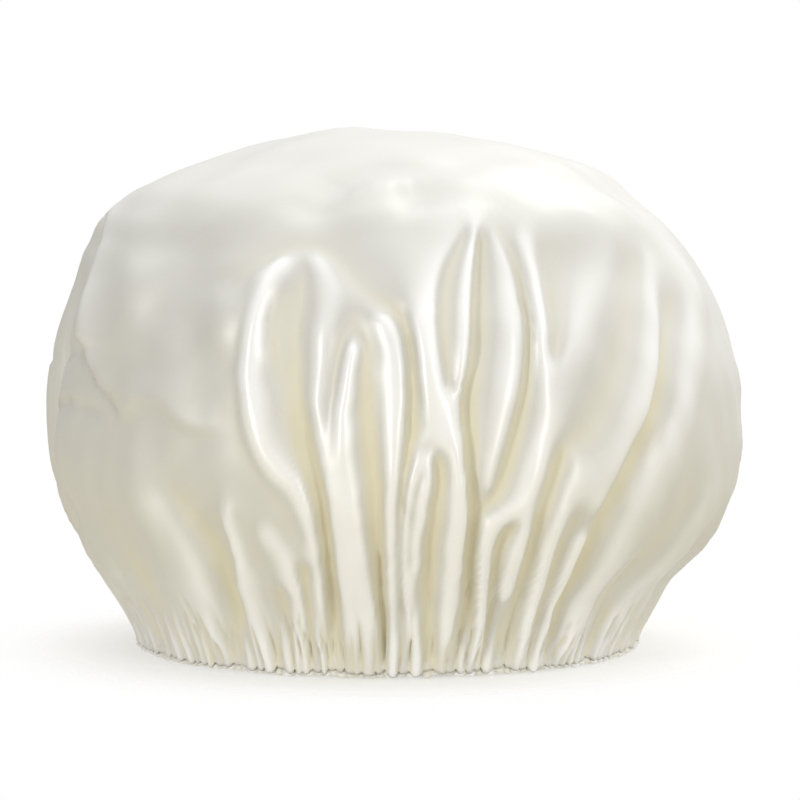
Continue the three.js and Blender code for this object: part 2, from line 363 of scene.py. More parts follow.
class FoldField:
    """The folds of the cloth, as a height over the cap's outline."""

    closest: float = 0.9
    least_step: float = 0.4
    spreads: int = 24
    hem_softness: float = 0.2
    soft_from: Pair = (10.0, 50.0)
    crease_reach: float = 5.0
    fold_reach: float = 2.6
    ridge_calm: float = 0.85
    hollow_calm: float = 0.4

    def __init__(self, outline: Outline, camera: PhotoCamera, folds: list[Fold]) -> None:
        """Lay the paths of the folds on the outline.

        Args:
            outline: The cap's outline.
            camera: The camera that the pixels belong to.
            folds: The folds.
        """
        self.outline = outline
        self.laid: list[tuple[Fold, Array, Array]] = []
        for fold in folds:
            if fold.on_photo:
                angle, along = camera.cast(curve_through(fold.path, 3.0), outline)
            else:
                line = curve_through(fold.path, 1.5)
                angle, along = np.radians(line[:, 0]), line[:, 1]
            self.laid.append((fold, angle, along))

    def soften(self, lift: Array, angle: Array, along: Array) -> Array:
        """Spread the height of the folds, as cloth bends in curves and not in edges.

        Args:
            lift: How far the cloth stands out, in rings of columns.
            angle: Angles of the points.
            along: Their distances along the outline.

        Returns:
            The softened heights.
        """
        around = np.interp(np.maximum(along, 0.0), self.outline.distance, self.outline.radius)
        wide = np.maximum(wrap(np.roll(angle, -1, axis=1) - angle) * around, self.least_step)
        tall = np.maximum(np.diff(along, axis=0), self.least_step)
        soft = self.hem_softness + (1.0 - self.hem_softness) * ease(along, *self.soft_from)
        soft = soft / (2.0 * self.spreads)
        for _ in range(self.spreads):
            right = (np.roll(lift, -1, axis=1) - lift) / wide**2
            left = (np.roll(lift, 1, axis=1) - lift) / np.roll(wide, 1, axis=1) ** 2
            slope = np.diff(lift, axis=0) / tall**2
            change = right + left
            change[:-1] += slope
            change[1:] -= slope
            reach = 1.0 / (2.0 / wide**2 + 2.0 / self.closest**2)
            lift = lift + np.minimum(soft, reach) * change
        return lift

    def measure(self, angle: Array, along: Array, crisp: bool | None = None) -> tuple[Array, Array]:
        """Height and sideways shift of the cloth.

        Args:
            angle: Angles of the points.
            along: Their distances along the outline.
            crisp: Whether only the pressed creases count, or only the other folds; None counts all.

        Returns:
            How far the cloth stands out, and how far it is shifted round the cap, both in millimetres.
        """
        lift = np.zeros(angle.shape)
        shift = np.zeros(angle.shape)
        around = np.interp(np.maximum(along, 0.0), self.outline.distance, self.outline.radius)
        sides = side_share(wrap(angle))
        for fold, path_angle, path_along in self.laid:
            if crisp is not None and fold.crisp is not crisp:
                continue
            widest = max(fold.left, fold.right) * max(fold.widths)
            reach = widest * (self.crease_reach if fold.section is Section.CREASE else self.fold_reach)
            middle = path_angle[len(path_angle) // 2]
            span = np.abs(wrap(path_angle - middle)).max()
            near = (along > path_along.min() - reach) & (along < path_along.max() + reach)
            near &= np.abs(wrap(angle - middle)) * around < span * around + reach
            index = np.nonzero(near)
            if not len(index[0]):
                continue
            here = around[index]
            across = wrap(angle[index][:, None] - path_angle[None, :]) * here[:, None]
            up = along[index][:, None] - path_along[None, :]
            nearest = (across**2 + up**2).argmin(axis=1)
            rows = np.arange(len(nearest))
            across, up = across[rows, nearest], up[rows, nearest]
            line_x = np.gradient(np.unwrap(path_angle)) * np.interp(
                path_along, self.outline.distance, self.outline.radius
            )
            line_y = np.gradient(path_along)
            size = np.hypot(line_x, line_y) + 1e-9
            side = (across * -line_y[nearest] + up * line_x[nearest]) / size[nearest]
            off = np.copysign(np.hypot(across, up), side)
            share = nearest / (len(path_angle) - 1)
            width = np.where(off < 0.0, fold.left, fold.right)
            width = width * np.interp(share, np.linspace(0.0, 1.0, len(fold.widths)), fold.widths)
            calm = fold.calm * (self.ridge_calm if fold.lift > 0.0 else self.hollow_calm)
            strength = faded(share, fold.fade) * (1.0 - calm * sides[index])
            height = strength * fold.section.height(off, width)
            lift[index] += fold.lift * height
            shift[index] += fold.lean * height
        return lift, shift


ROLL, CREASE, TENT = Section.ROLL, Section.CREASE, Section.TENT


def front_folds() -> list[Fold]:
    """The creases of the left side and the soft forms of the crown."""
    left_side = [
        Fold(((113, 208), (109, 230), (101, 251), (94, 269), (87, 291), (84, 316), (80, 347)), 3.4, 1.0, 12,
             CREASE, fade=(0.08, 0.08), lean=-0.6, calm=0.2, crisp=True),
        Fold(((80, 347), (88, 373), (95, 389), (106, 405), (115, 417), (120, 427)), -1.7, 1.6, 1.6, TENT,
             fade=(0.08, 0.3), crisp=True),
        Fold(((86, 352), (96, 378), (104, 391), (114, 405), (122, 418)), 1.2, 2.0, 6, TENT, fade=(0.1, 0.3),
             crisp=True),
        Fold(((80, 349), (65, 357), (50, 365)), -1.6, 6, 1.6, TENT, fade=(0.1, 0.1), crisp=True),
        Fold(((51, 404), (66, 401), (84, 407), (102, 415)), -1.8, 7, 1.8, TENT, fade=(0.1, 0.3), crisp=True),
        Fold(((112, 418), (134, 401), (154, 399), (165, 405), (176, 416), (190, 425), (212, 429), (240, 431)),
             2.2, 2.4, 12, TENT, fade=(0.15, 0.4)),
        Fold(((196, 196), (186, 260), (176, 320), (170, 366)), -2.8, 12, 12, fade=(0.35, 0.35)),
        Fold(((230, 276), (218, 320), (208, 370)), 2.2, 8, 8, fade=(0.4, 0.4)),
        Fold(((150, 246), (136, 296), (126, 345)), 2.0, 9, 9, fade=(0.4, 0.4)),
    ]
    crown = [
        Fold(((366, 168), (376, 202), (384, 236)), 2.2, 14, 10, fade=(0.45, 0.35)),
        Fold(((352, 164), (322, 196), (292, 226)), -2.8, 9, 10, fade=(0.4, 0.4)),
        Fold(((398, 176), (410, 200), (424, 226)), -2.2, 10, 10, fade=(0.4, 0.35)),
        Fold(((2, 164), (22, 159), (45, 156), (72, 160)), 5.0, 12, 30, fade=(0.45, 0.3), on_photo=False),
        Fold(((150, 196), (200, 212), (250, 236)), 1.4, 14, 18, fade=(0.4, 0.3)),
    ]
    return left_side + crown


class Edge(Enum):
    """How cloth bends along a line: the share of its stiffness that is left there."""

    ROUND = 1.0
    KEEN = 0.04


KEEN = Edge.KEEN


@dataclass(frozen=True)
class Line:
    """The crest or the foot of a fold of the front, from its top down, with its heights over the outline."""

    path: Path
    heights: Floats
    edge: Edge = Edge.ROUND
    fade: Pair = (0.1, 0.02)


class LineField:
    """The gathered front: a springy cloth that passes through the crests and feet of its folds."""

    half_turn: float = math.radians(108.0)
    angle_step: float = math.radians(0.55)
    along_step: float = 1.2
    lowest: float = -6.0
    height_share: float = 0.64
    foot_share: float = 0.5
    foot_to: float = 34.0
    hold: float = 4.0
    pull: float = 0.02
    rest: float = 20.0
    rounds: int = 700
    side_calm: float = 0.8
    even_over: float = 4.5
    near_tone: float = 0.62
    whole_tone: float = 0.07

    def __init__(self, outline: Outline, camera: PhotoCamera, lines: list[Line]) -> None:
        """Draw the lines on a grid that covers the front and let the cloth settle on them.

        Args:
            outline: The cap's outline.
            camera: The camera that the pixels belong to.
            lines: The lines.
        """
        self.angles = np.arange(-self.half_turn, self.half_turn, self.angle_step)
        self.alongs = np.arange(self.lowest, outline.distance[-1], self.along_step)
        radius = np.interp(np.maximum(self.alongs, 0.0), outline.distance, outline.radius)
        self.across = np.maximum(radius, LEAST_RADIUS)[:, None] * self.angle_step
        shape = (len(self.alongs), len(self.angles))
        self.stiffness = np.ones(shape)
        held, target = np.zeros(shape), np.zeros(shape)
        for line in lines:
            angle, along = camera.cast(curve_through(line.path, 1.5), outline)
            share = np.linspace(0.0, 1.0, len(angle))
            strength = faded(share, line.fade)
            height = np.interp(share, np.linspace(0.0, 1.0, len(line.heights)), line.heights)
            height = height * self.height_share * (1.0 - self.side_calm * side_share(angle))
            height = height * (self.foot_share + (1.0 - self.foot_share) * smooth(along / self.foot_to))
            row, column = self.place(angle, along)
            low_row, low_column = np.floor(row).astype(int), np.floor(column).astype(int)
            for to_row in (0, 1):
                for to_column in (0, 1):
                    near = np.abs(1.0 - to_row - (row - low_row))
                    near = near * np.abs(1.0 - to_column - (column - low_column))
                    at = self.cell(low_row + to_row, low_column + to_column)
                    np.add.at(held, at, near * strength)
                    np.add.at(target, at, near * strength * height)
            soft = 1.0 - (1.0 - line.edge.value) * strength
            at = self.cell(np.rint(row).astype(int), np.rint(column).astype(int))
            np.minimum.at(self.stiffness, at, soft)
        self.held = self.hold * held
        self.cloth = self.settle(self.hold * target)
        self.relief = self.cloth - self.evened(self.cloth)

    def place(self, angle: Array, along: Array) -> tuple[Array, Array]:
        """Rows and columns of points on the grid, with their fractions."""
        return (along - self.alongs[0]) / self.along_step, (angle - self.angles[0]) / self.angle_step

    def cell(self, row: Array, column: Array) -> tuple[Array, Array]:
        """Whole rows and columns, kept on the grid."""
        return np.clip(row, 0, len(self.alongs) - 1), np.clip(column, 0, len(self.angles) - 1)

    def bend(self, cloth: Array) -> Array:
        """How strongly the cloth curves at each point of the grid."""
        wide = np.pad(cloth, 1)
        sideways = (wide[1:-1, 2:] + wide[1:-1, :-2] - 2.0 * cloth) / self.across**2
        return sideways + (wide[2:, 1:-1] + wide[:-2, 1:-1] - 2.0 * cloth) / self.along_step**2

    def strain(self, cloth: Array) -> Array:
        """The force with which a bent and drawn cloth resists at each point of the grid."""
        curve = self.bend(cloth)
        return self.bend(self.stiffness * curve) - self.pull * curve + (self.held + self.rest**-4) * cloth

    def settle(self, load: Array) -> Array:
        """Find the cloth that balances a load, by conjugate gradients.

        Args:
            load: Force towards the lines, at each point of the grid.

        Returns:
            Height of the cloth at each point of the grid.
        """
        give = 6.0 * (self.across**-2 + self.along_step**-2) ** 2 * np.ones(load.shape) + self.held
        cloth, left = np.zeros(load.shape), load.copy()
        step = left / give
        way, size = step.copy(), (left * step).sum()
        for _ in range(self.rounds):
            answer = self.strain(way)
            stride = size / (way * answer).sum()
            cloth += stride * way
            left -= stride * answer
            step = left / give
            size, before = (left * step).sum(), size
            way = step + (size / before) * way
        return cloth

    def evened(self, cloth: Array) -> Array:
        """The cloth without its folds: the mean height about each point of the grid."""
        reach = round(4.0 * self.even_over)
        share = np.exp(-0.5 * (np.arange(-reach, reach + 1) / self.even_over) ** 2)
        share /= share.sum()
        rows = np.apply_along_axis(np.convolve, 1, cloth, share, "same")
        return np.apply_along_axis(np.convolve, 0, rows, share, "same")

    def tone(self, angle: Array, along: Array) -> Array:
        """How much light reaches the cloth, from -1 deep between folds to 1 on a crest."""
        near, whole = self.read(self.relief, angle, along), self.read(self.cloth, angle, along)
        return np.clip(self.near_tone * near + self.whole_tone * whole, -1.0, 1.0)

    def measure(self, angle: Array, along: Array) -> Array:
        """Height of the cloth over the outline, in millimetres."""
        return self.read(self.cloth, angle, along)

    def read(self, grid: Array, angle: Array, along: Array) -> Array:
        """Read values of the grid.

        Args:
            grid: A value at each point of the grid.
            angle: Angles of the points to read.
            along: Their distances along the outline.

        Returns:
            The values at those points.
        """
        row, column = self.place(wrap(angle), along)
        low_row, low_column = np.floor(row).astype(int), np.floor(column).astype(int)
        height = np.zeros(angle.shape)
        for to_row in range(-1, 3):
            for to_column in range(-1, 3):
                at_row, at_column = low_row + to_row, low_column + to_column
                share = self.blend(np.abs(row - at_row)) * self.blend(np.abs(column - at_column))
                kept_row, kept_column = self.cell(at_row, at_column)
                inside = (kept_row == at_row) & (kept_column == at_column)
                height += np.where(inside, share * grid[kept_row, kept_column], 0.0)
        return height

    @staticmethod
    def blend(away: Array) -> Array:
        """Share of a grid point in a value read at a distance from it, in grid steps (cubic B-spline)."""
        near = 2.0 / 3.0 - away**2 + 0.5 * away**3
        return np.where(away < 1.0, near, np.clip(2.0 - away, 0.0, None) ** 3 / 6.0)


def front_lines() -> list[Line]:
    """The crests and feet of the folds that the photograph shows, from its left to its right."""
    foot_left = [
        Line(((108, 213), (97, 252), (85, 292), (79, 330), (78, 350)), (-3, -4.5, -4.5, -3), KEEN,
             (0.15, 0.15)),
        Line(((117, 212), (108, 250), (97, 290), (92, 330), (91, 352)), (1.5, 2.2, 2.2, 1.2),
             fade=(0.15, 0.2)),
        Line(((62, 470), (84, 535), (112, 585)), (-1.5, -2), fade=(0.3, 0.3)),
        Line(((104, 532), (120, 563), (131, 584), (139, 600), (148, 618), (156, 648)), (-4, -6.5, -7), KEEN,
             (0.3, 0.02)),
        Line(((170, 492), (190, 522), (206, 548), (219, 578), (228, 606), (236, 648)), (-3, -5.5, -7), KEEN,
             (0.25, 0.02)),
        Line(((150, 500), (172, 540), (190, 575), (204, 610), (212, 645)), (1.2, 2, 2.4), fade=(0.3, 0.05)),
        Line(((198, 468), (212, 505), (226, 548), (233, 585)), (-1, -2.6, -2.5), KEEN, (0.5, 0.3)),
        Line(((222, 468), (234, 500), (245, 536), (254, 575)), (-0.4, -0.3, 0.2), fade=(0.2, 0.2)),
        Line(((98, 384), (112, 399), (124, 407), (138, 403), (152, 398)), (-1.5, -3.5, -3, -1), KEEN,
             (0.25, 0.3)),
        Line(((215, 500), (226, 535), (236, 570), (246, 610), (252, 648)), (0, 0.8, 1.6, 2),
             fade=(0.5, 0.03)),
        Line(((258, 536), (272, 543), (284, 558), (292, 577), (298, 600), (301, 622), (302, 648)),
             (2.5, 3.5, 3.5, 3), KEEN, (0.15, 0.03)),
        Line(((298, 566), (303, 592), (305, 618), (305, 650)), (-2, -3, -3), KEEN, (0.3, 0.02)),
        Line(((279, 592), (282, 618), (284, 650)), (-1.5, -2.5), KEEN, (0.35, 0.02)),
    ]
    first_arch = [
        Line(((286, 256), (279, 266), (270, 281), (262, 305), (256, 330), (252, 355), (251, 380), (253, 410),
             (258, 435), (266, 455), (280, 473), (296, 487), (306, 512), (313, 540), (317, 580), (319, 620),
             (319, 650)), (1, 4.5, 5.5, 5.5, 5, 3, 2, 2, 2), KEEN, (0.06, 0.02)),
        Line(((264, 266), (252, 286), (243, 310), (237, 338), (233, 368), (234, 400), (239, 434), (249, 463),
             (264, 488), (281, 505), (294, 527), (301, 553)), (0.6, 0.6, 0.5, 0.4, 0.2, 0), fade=(0.15, 0.2)),
        Line(((303, 254), (301, 275), (298, 305), (292, 340), (293, 380), (297, 405), (303, 435), (311, 465),
             (318, 490), (323, 520), (327, 560), (330, 600), (331, 648)),
             (-1, -4, -5, -5, -5.5, -5.5, -5.5, -5.5), KEEN, (0.1, 0.01)),
        Line(((287, 288), (277, 306), (272, 328), (274, 350), (282, 376), (290, 402)), (-2.2, -3, -3.5), KEEN,
             (0.2, 0.3)),
        Line(((312, 250), (321, 268), (328, 295), (327, 330), (323, 370), (320, 400), (321, 430), (325, 460),
             (330, 490), (334, 520), (338, 560), (342, 600), (346, 648)), (0, 0.8, 1, 1.2, 2, 3, 3, 3, 2.5)),
    ]
    second_arch = [
        Line(((236, 284), (251, 269), (268, 256), (284, 247), (302, 242), (322, 247), (342, 262), (358, 282),
             (372, 297), (388, 306), (400, 316), (408, 332), (412, 350), (413, 375), (411, 405), (408, 440),
             (404, 475), (402, 510), (401, 560), (402, 600), (404, 648)),
             (-1.5, -3, -3.2, -3.2, -3.2, -2.6, -2, -1, -1, -1), KEEN, (0.1, 0.02)),
        Line(((372, 302), (358, 313), (347, 330), (339, 350), (334, 372), (330, 400), (329, 430), (331, 470)),
             (-1.8, -2.2, -2, -1, 0.4, 2, 2.8), fade=(0.1, 0.3)),
        Line(((354, 340), (350, 368), (346, 398), (342, 428), (343, 452), (347, 480), (351, 502), (358, 540),
             (366, 582), (376, 622), (381, 650)), (3, 4, 4.5, 4.5, 4.5, 4, 4), KEEN, (0.08, 0.02)),
        Line(((365, 330), (365, 365), (365, 400), (368, 430), (372, 460), (376, 490), (378, 520), (378, 560),
             (380, 600), (385, 648)), (-2, -3, -3.5, -4, -4.5, -5, -5), KEEN, (0.1, 0.01)),
        Line(((380, 315), (391, 328), (398, 350), (401, 380), (402, 410), (400, 440), (396, 470), (393, 500),
             (391, 540), (391, 580), (392, 615), (394, 650)), (2, 3, 3, 3, 2.5, 2.5, 2.5), fade=(0.08, 0.02)),
    ]
    bright_band = [
        Line(((424, 445), (415, 472), (409, 500), (405, 530), (404, 560), (406, 595), (411, 615), (418, 645)),
             (2.5, 3.5, 3.5, 3.5, 3), KEEN, (0.15, 0.03)),
        Line(((424, 464), (418, 486), (413, 512), (411, 540), (410, 568), (411, 592)), (0.8, 0.5, 0.5), KEEN,
             (0.25, 0.3)),
        Line(((432, 452), (427, 480), (422, 505), (417, 535), (415, 560), (413, 592)), (3, 3, 2.5),
             fade=(0.2, 0.3)),
        Line(((438, 452), (438, 478), (436, 502), (432, 530), (429, 560), (428, 590), (430, 620), (431, 650)),
             (-2, -3.5, -4, -4, -4), KEEN, (0.15, 0.01)),
        Line(((470, 226), (453, 244), (440, 262), (433, 282), (430, 305), (431, 338), (436, 375), (443, 400),
             (450, 425), (456, 452), (460, 480), (463, 502), (463, 525), (460, 555), (456, 585), (450, 612),
             (444, 648)), (1.5, 3, 4, 4.5, 4.5, 4.5, 4, 4, 4, 3.5), KEEN, (0.06, 0.02)),
        Line(((414, 296), (416, 325), (419, 352), (424, 380), (431, 404), (440, 428), (449, 455)),
             (2.2, 4, 4.4, 4.4, 4), fade=(0.3, 0.2)),
    ]
    third_arch = [
        Line(((468, 233), (457, 252), (449, 275), (445, 300), (443, 335), (446, 370), (452, 395)),
             (-0.5, -1.2, -1.4, -1.2, 0), fade=(0.06, 0.3)),
        Line(((474, 227), (469, 260), (466, 300), (465, 340), (463, 366), (460, 388), (459, 410), (461, 436),
             (465, 462)), (2.5, 3, 3, 3, 2.5, 2, 1), KEEN, (0.04, 0.2)),
        Line(((479, 232), (478, 270), (476, 310), (474, 340), (470, 366), (465, 388), (464, 408), (466, 436),
             (469, 465), (471, 500), (472, 540), (473, 580), (474, 620), (476, 650)),
             (-2.5, -4, -4.5, -4.5, -4.5, -5, -5.5, -5.5, -5), KEEN, (0.05, 0.01)),
        Line(((484, 231), (497, 252), (508, 276), (516, 302), (520, 335), (519, 365), (514, 395), (506, 420),
             (497, 446), (490, 475), (485, 505)), (0.5, 1.2, 1.5, 1.5, 1, 0.5), fade=(0.06, 0.25)),
        Line(((490, 229), (504, 247), (515, 268), (523, 292), (528, 325), (528, 352), (525, 380), (520, 408),
             (514, 440), (506, 470), (497, 498), (490, 515)), (-1, -2.5, -3.5, -3.5, -3.5, -3.5, -2.5), KEEN,
             (0.05, 0.15)),
        Line(((514, 240), (526, 262), (533, 290), (537, 315), (538, 342), (541, 368), (546, 392), (548, 412),
             (544, 435), (539, 456), (533, 478), (524, 498), (512, 510), (498, 520), (489, 533), (486, 552),
             (485, 582), (487, 612), (492, 645)), (1.5, 2.5, 3, 3, 3, 3.5, 3.5, 3.5, 3.5, 3.2),
             fade=(0.08, 0.03)),
    ]
    right_ridges = [
        Line(((536, 246), (544, 275), (549, 305), (552, 335), (553, 365)), (-1, -1.5, -0.6), fade=(0.3, 0.5)),
        Line(((606, 252), (594, 278), (584, 302), (576, 326), (568, 350), (560, 376), (552, 398)),
             (1, 1.6, 2, 2.4), fade=(0.2, 0.1)),
        Line(((566, 446), (556, 470), (549, 495), (541, 522), (533, 555), (526, 590), (521, 620), (519, 650)),
             (-2.5, -3.5, -3.5, -3.5, -3.5), KEEN, (0.2, 0.01)),
        Line(((518, 524), (508, 536), (501, 550), (497, 570), (494, 595), (493, 618), (497, 648)),
             (-2, -3.5, -4, -4), KEEN, (0.15, 0.03)),
        Line(((530, 500), (526, 520), (522, 540), (516, 562), (510, 585), (505, 605)), (2.5, 3, 3, 2.5),
             fade=(0.2, 0.2)),
        Line(((580, 448), (573, 468), (566, 490), (561, 512), (555, 532), (550, 555), (545, 578), (539, 598),
             (533, 618), (527, 645)), (0, 1.4, 3, 4, 3.8, 3.5), KEEN, (0.5, 0.03)),
        Line(((580, 512), (571, 535), (563, 556), (556, 576), (549, 600), (542, 625)), (-1.5, -2, -2), KEEN,
             (0.25, 0.1)),
        Line(((590, 535), (581, 555), (573, 576), (565, 596), (556, 614), (549, 640)), (2, 2.5, 2.5),
             fade=(0.25, 0.05)),
    ]
    fourth_arch = [
        Line(((634, 256), (629, 290), (624, 325), (619, 355), (609, 390), (594, 420), (577, 446)),
             (-1, -2.2, -2.8, -2.8, -2.4, -2), fade=(0.12, 0.25)),
        Line(((643, 240), (647, 275), (652, 312), (655, 342), (653, 372), (646, 402), (634, 432), (618, 462),
             (604, 492), (592, 520)), (1, 1.6, 1.8, 1.8, 1.5, 1), fade=(0.12, 0.25)),
        Line(((672, 292), (669, 318), (665, 345), (662, 372), (657, 398), (648, 424), (637, 452), (626, 477),
             (616, 497), (606, 516), (597, 537), (588, 558), (579, 578), (569, 598), (561, 618), (553, 648)),
             (-1.5, -2.6, -3, -3.4, -3.8, -4.2, -4.5, -4.5), KEEN, (0.08, 0.01)),
        Line(((652, 236), (665, 257), (678, 276), (687, 292), (690, 310), (690, 340), (688, 368), (683, 398),
             (675, 422), (664, 448), (653, 474), (643, 500), (630, 530), (615, 557), (598, 583), (580, 604),
             (566, 628)), (1.8, 2.8, 2.8, 2.8, 2.8, 2.4, 2.4, 2.6), fade=(0.08, 0.05)),
        Line(((648, 228), (662, 248), (679, 270), (689, 290), (691, 310), (690, 335)), (1.8, 2.6, 2.8, 2.8),
             KEEN, (0.2, 0.4)),
        Line(((702, 262), (712, 300), (714, 345), (708, 395), (698, 440), (688, 470)), (0.3, 0.2, 0, 0),
             fade=(0.2, 0.25)),
        Line(((694, 488), (682, 516), (666, 543), (648, 563), (628, 583), (608, 604), (592, 630)),
             (-1.5, -2.5, -2.5, -2.5), KEEN, (0.3, 0.03)),
        Line(((704, 505), (684, 545), (662, 570), (640, 590), (618, 610)), (1.5, 2, 2), fade=(0.3, 0.1)),
    ]
    return foot_left + first_arch + second_arch + bright_band + third_arch + right_ridges + fourth_arch


@dataclass(frozen=True)
class BackFolds:
    """Rule for the folds that the photograph doesn't show, round the sides and the back.

    Their hollows lie where the part has its valleys: evenly between the last fold of the front and the first.
    """

    outline: Outline
    levels: Floats = (14.4, 56.3, 86.5, 111.6, 140.0)
    first: Floats = (58.0, 53.0, 60.0, 66.0, 74.0)
    last: Floats = (288.0, 302.0, 302.0, 302.0, 300.0)
    count: int = 10
    depths: Floats = (7.0, 5.0, 9.0, 6.0)
    depth_share: float = 1.1
    tops: Pair = (118.0, 146.0)
    narrow: Pair = (4.0, 7.0)
    wide: Pair = (12.0, 17.0)
    keen_ridge: Pair = (2.0, 3.6)
    soft_ridge: Pair = (1.6, 3.0)
    ridge_place: float = 0.2
    short_places: Pair = (-0.34, 0.4)
    short_tops: Pair = (45.0, 85.0)
    short_depths: Pair = (2.5, 4.2)
    seed: int = 11

    def line(self, share: float, top: float) -> Path:
        """Path of a fold.

        Args:
            share: Place between the last fold of the front and the first one.
            top: Height that it runs up to.

        Returns:
            Its points, from the top to the foot, as angles and distances along the outline.
        """
        heights = np.linspace(top, self.levels[0], 6)
        angles = np.array(self.first) + share * (np.array(self.last) - np.array(self.first))
        turned = np.interp(heights, self.levels, angles)
        along = np.interp(heights, self.outline.level, self.outline.distance)
        return tuple(zip(turned.tolist(), along.tolist()))

    def folds(self) -> list[Fold]:
        """Long hollows with a ridge at each side, and short ones between them."""
        rng = np.random.default_rng(self.seed)
        made = []
        pitch = 1.0 / (self.count + 1)
        for i in range(1, self.count + 1):
            share, depth = i * pitch, self.depths[i % len(self.depths)]
            top = rng.uniform(*self.tops)
            sides = rng.permutation((rng.uniform(*self.narrow), rng.uniform(*self.wide)))
            path = self.line(share, top)
            made.append(Fold(path, -self.depth_share * depth, *sides, TENT, (0.7, 1.1, 1.0, 0.6), (0.3, 0.02),
                             on_photo=False))
            edge = rng.choice((-self.ridge_place, self.ridge_place)) * pitch
            for path, lifts, left, right, section in (
                (self.line(share + edge, top - 8.0), self.keen_ridge, 3.5, 6.0, TENT),
                (self.line(share - edge, 0.8 * top), self.soft_ridge, 5.0, 5.0, ROLL),
            ):
                made.append(Fold(path, rng.uniform(*lifts), left, right, section, (1.0, 1.0, 0.6),
                                 (0.25, 0.05), on_photo=False))
            for step in self.short_places:
                short = share + (step + rng.uniform(-0.08, 0.08)) * pitch
                path = self.line(short, rng.uniform(*self.short_tops))
                made.append(Fold(path, -rng.uniform(*self.short_depths), 2.4, 4.6, TENT, (1.4, 1.0, 0.7),
                                 (0.35, 0.03), on_photo=False))
        return made


@dataclass(frozen=True)
class Pleats:
    """Round lobes between sharp grooves, side by side round the hem."""

    grooves: Array
    heights: Array

    def lobe(self, angle: Array) -> tuple[Array, Array]:
        """Find the lobe at each angle.

        Args:
            angle: Angles round the hem.

        Returns:
            The place across the lobe, from 0 to 1, and the lobe's number.
        """
        edges = np.concatenate((self.grooves, [self.grooves[0] + TURN]))
        turned = (angle - self.grooves[0]) % TURN + self.grooves[0]
        number = np.clip(np.searchsorted(edges, turned, side="right") - 1, 0, len(self.grooves) - 1)
        return (turned - edges[number]) / (edges[number + 1] - edges[number]), number

    def rise(self, angle: Array, roundness: Array | float = 0.5) -> Array:
        """Height share of the lobes, from 0 in a groove to about 1 on a lobe."""
        across, number = self.lobe(angle)
        return (4.0 * across * (1.0 - across) + 0.01) ** roundness * self.heights[number]

    def draw(self, seed: int, limits: Pair, angle: Array) -> Array:
        """Draw a number between limits for each lobe, and give that of the lobe at each angle."""
        _, number = self.lobe(angle)
        return np.random.default_rng(seed).uniform(*limits, len(self.grooves))[number]


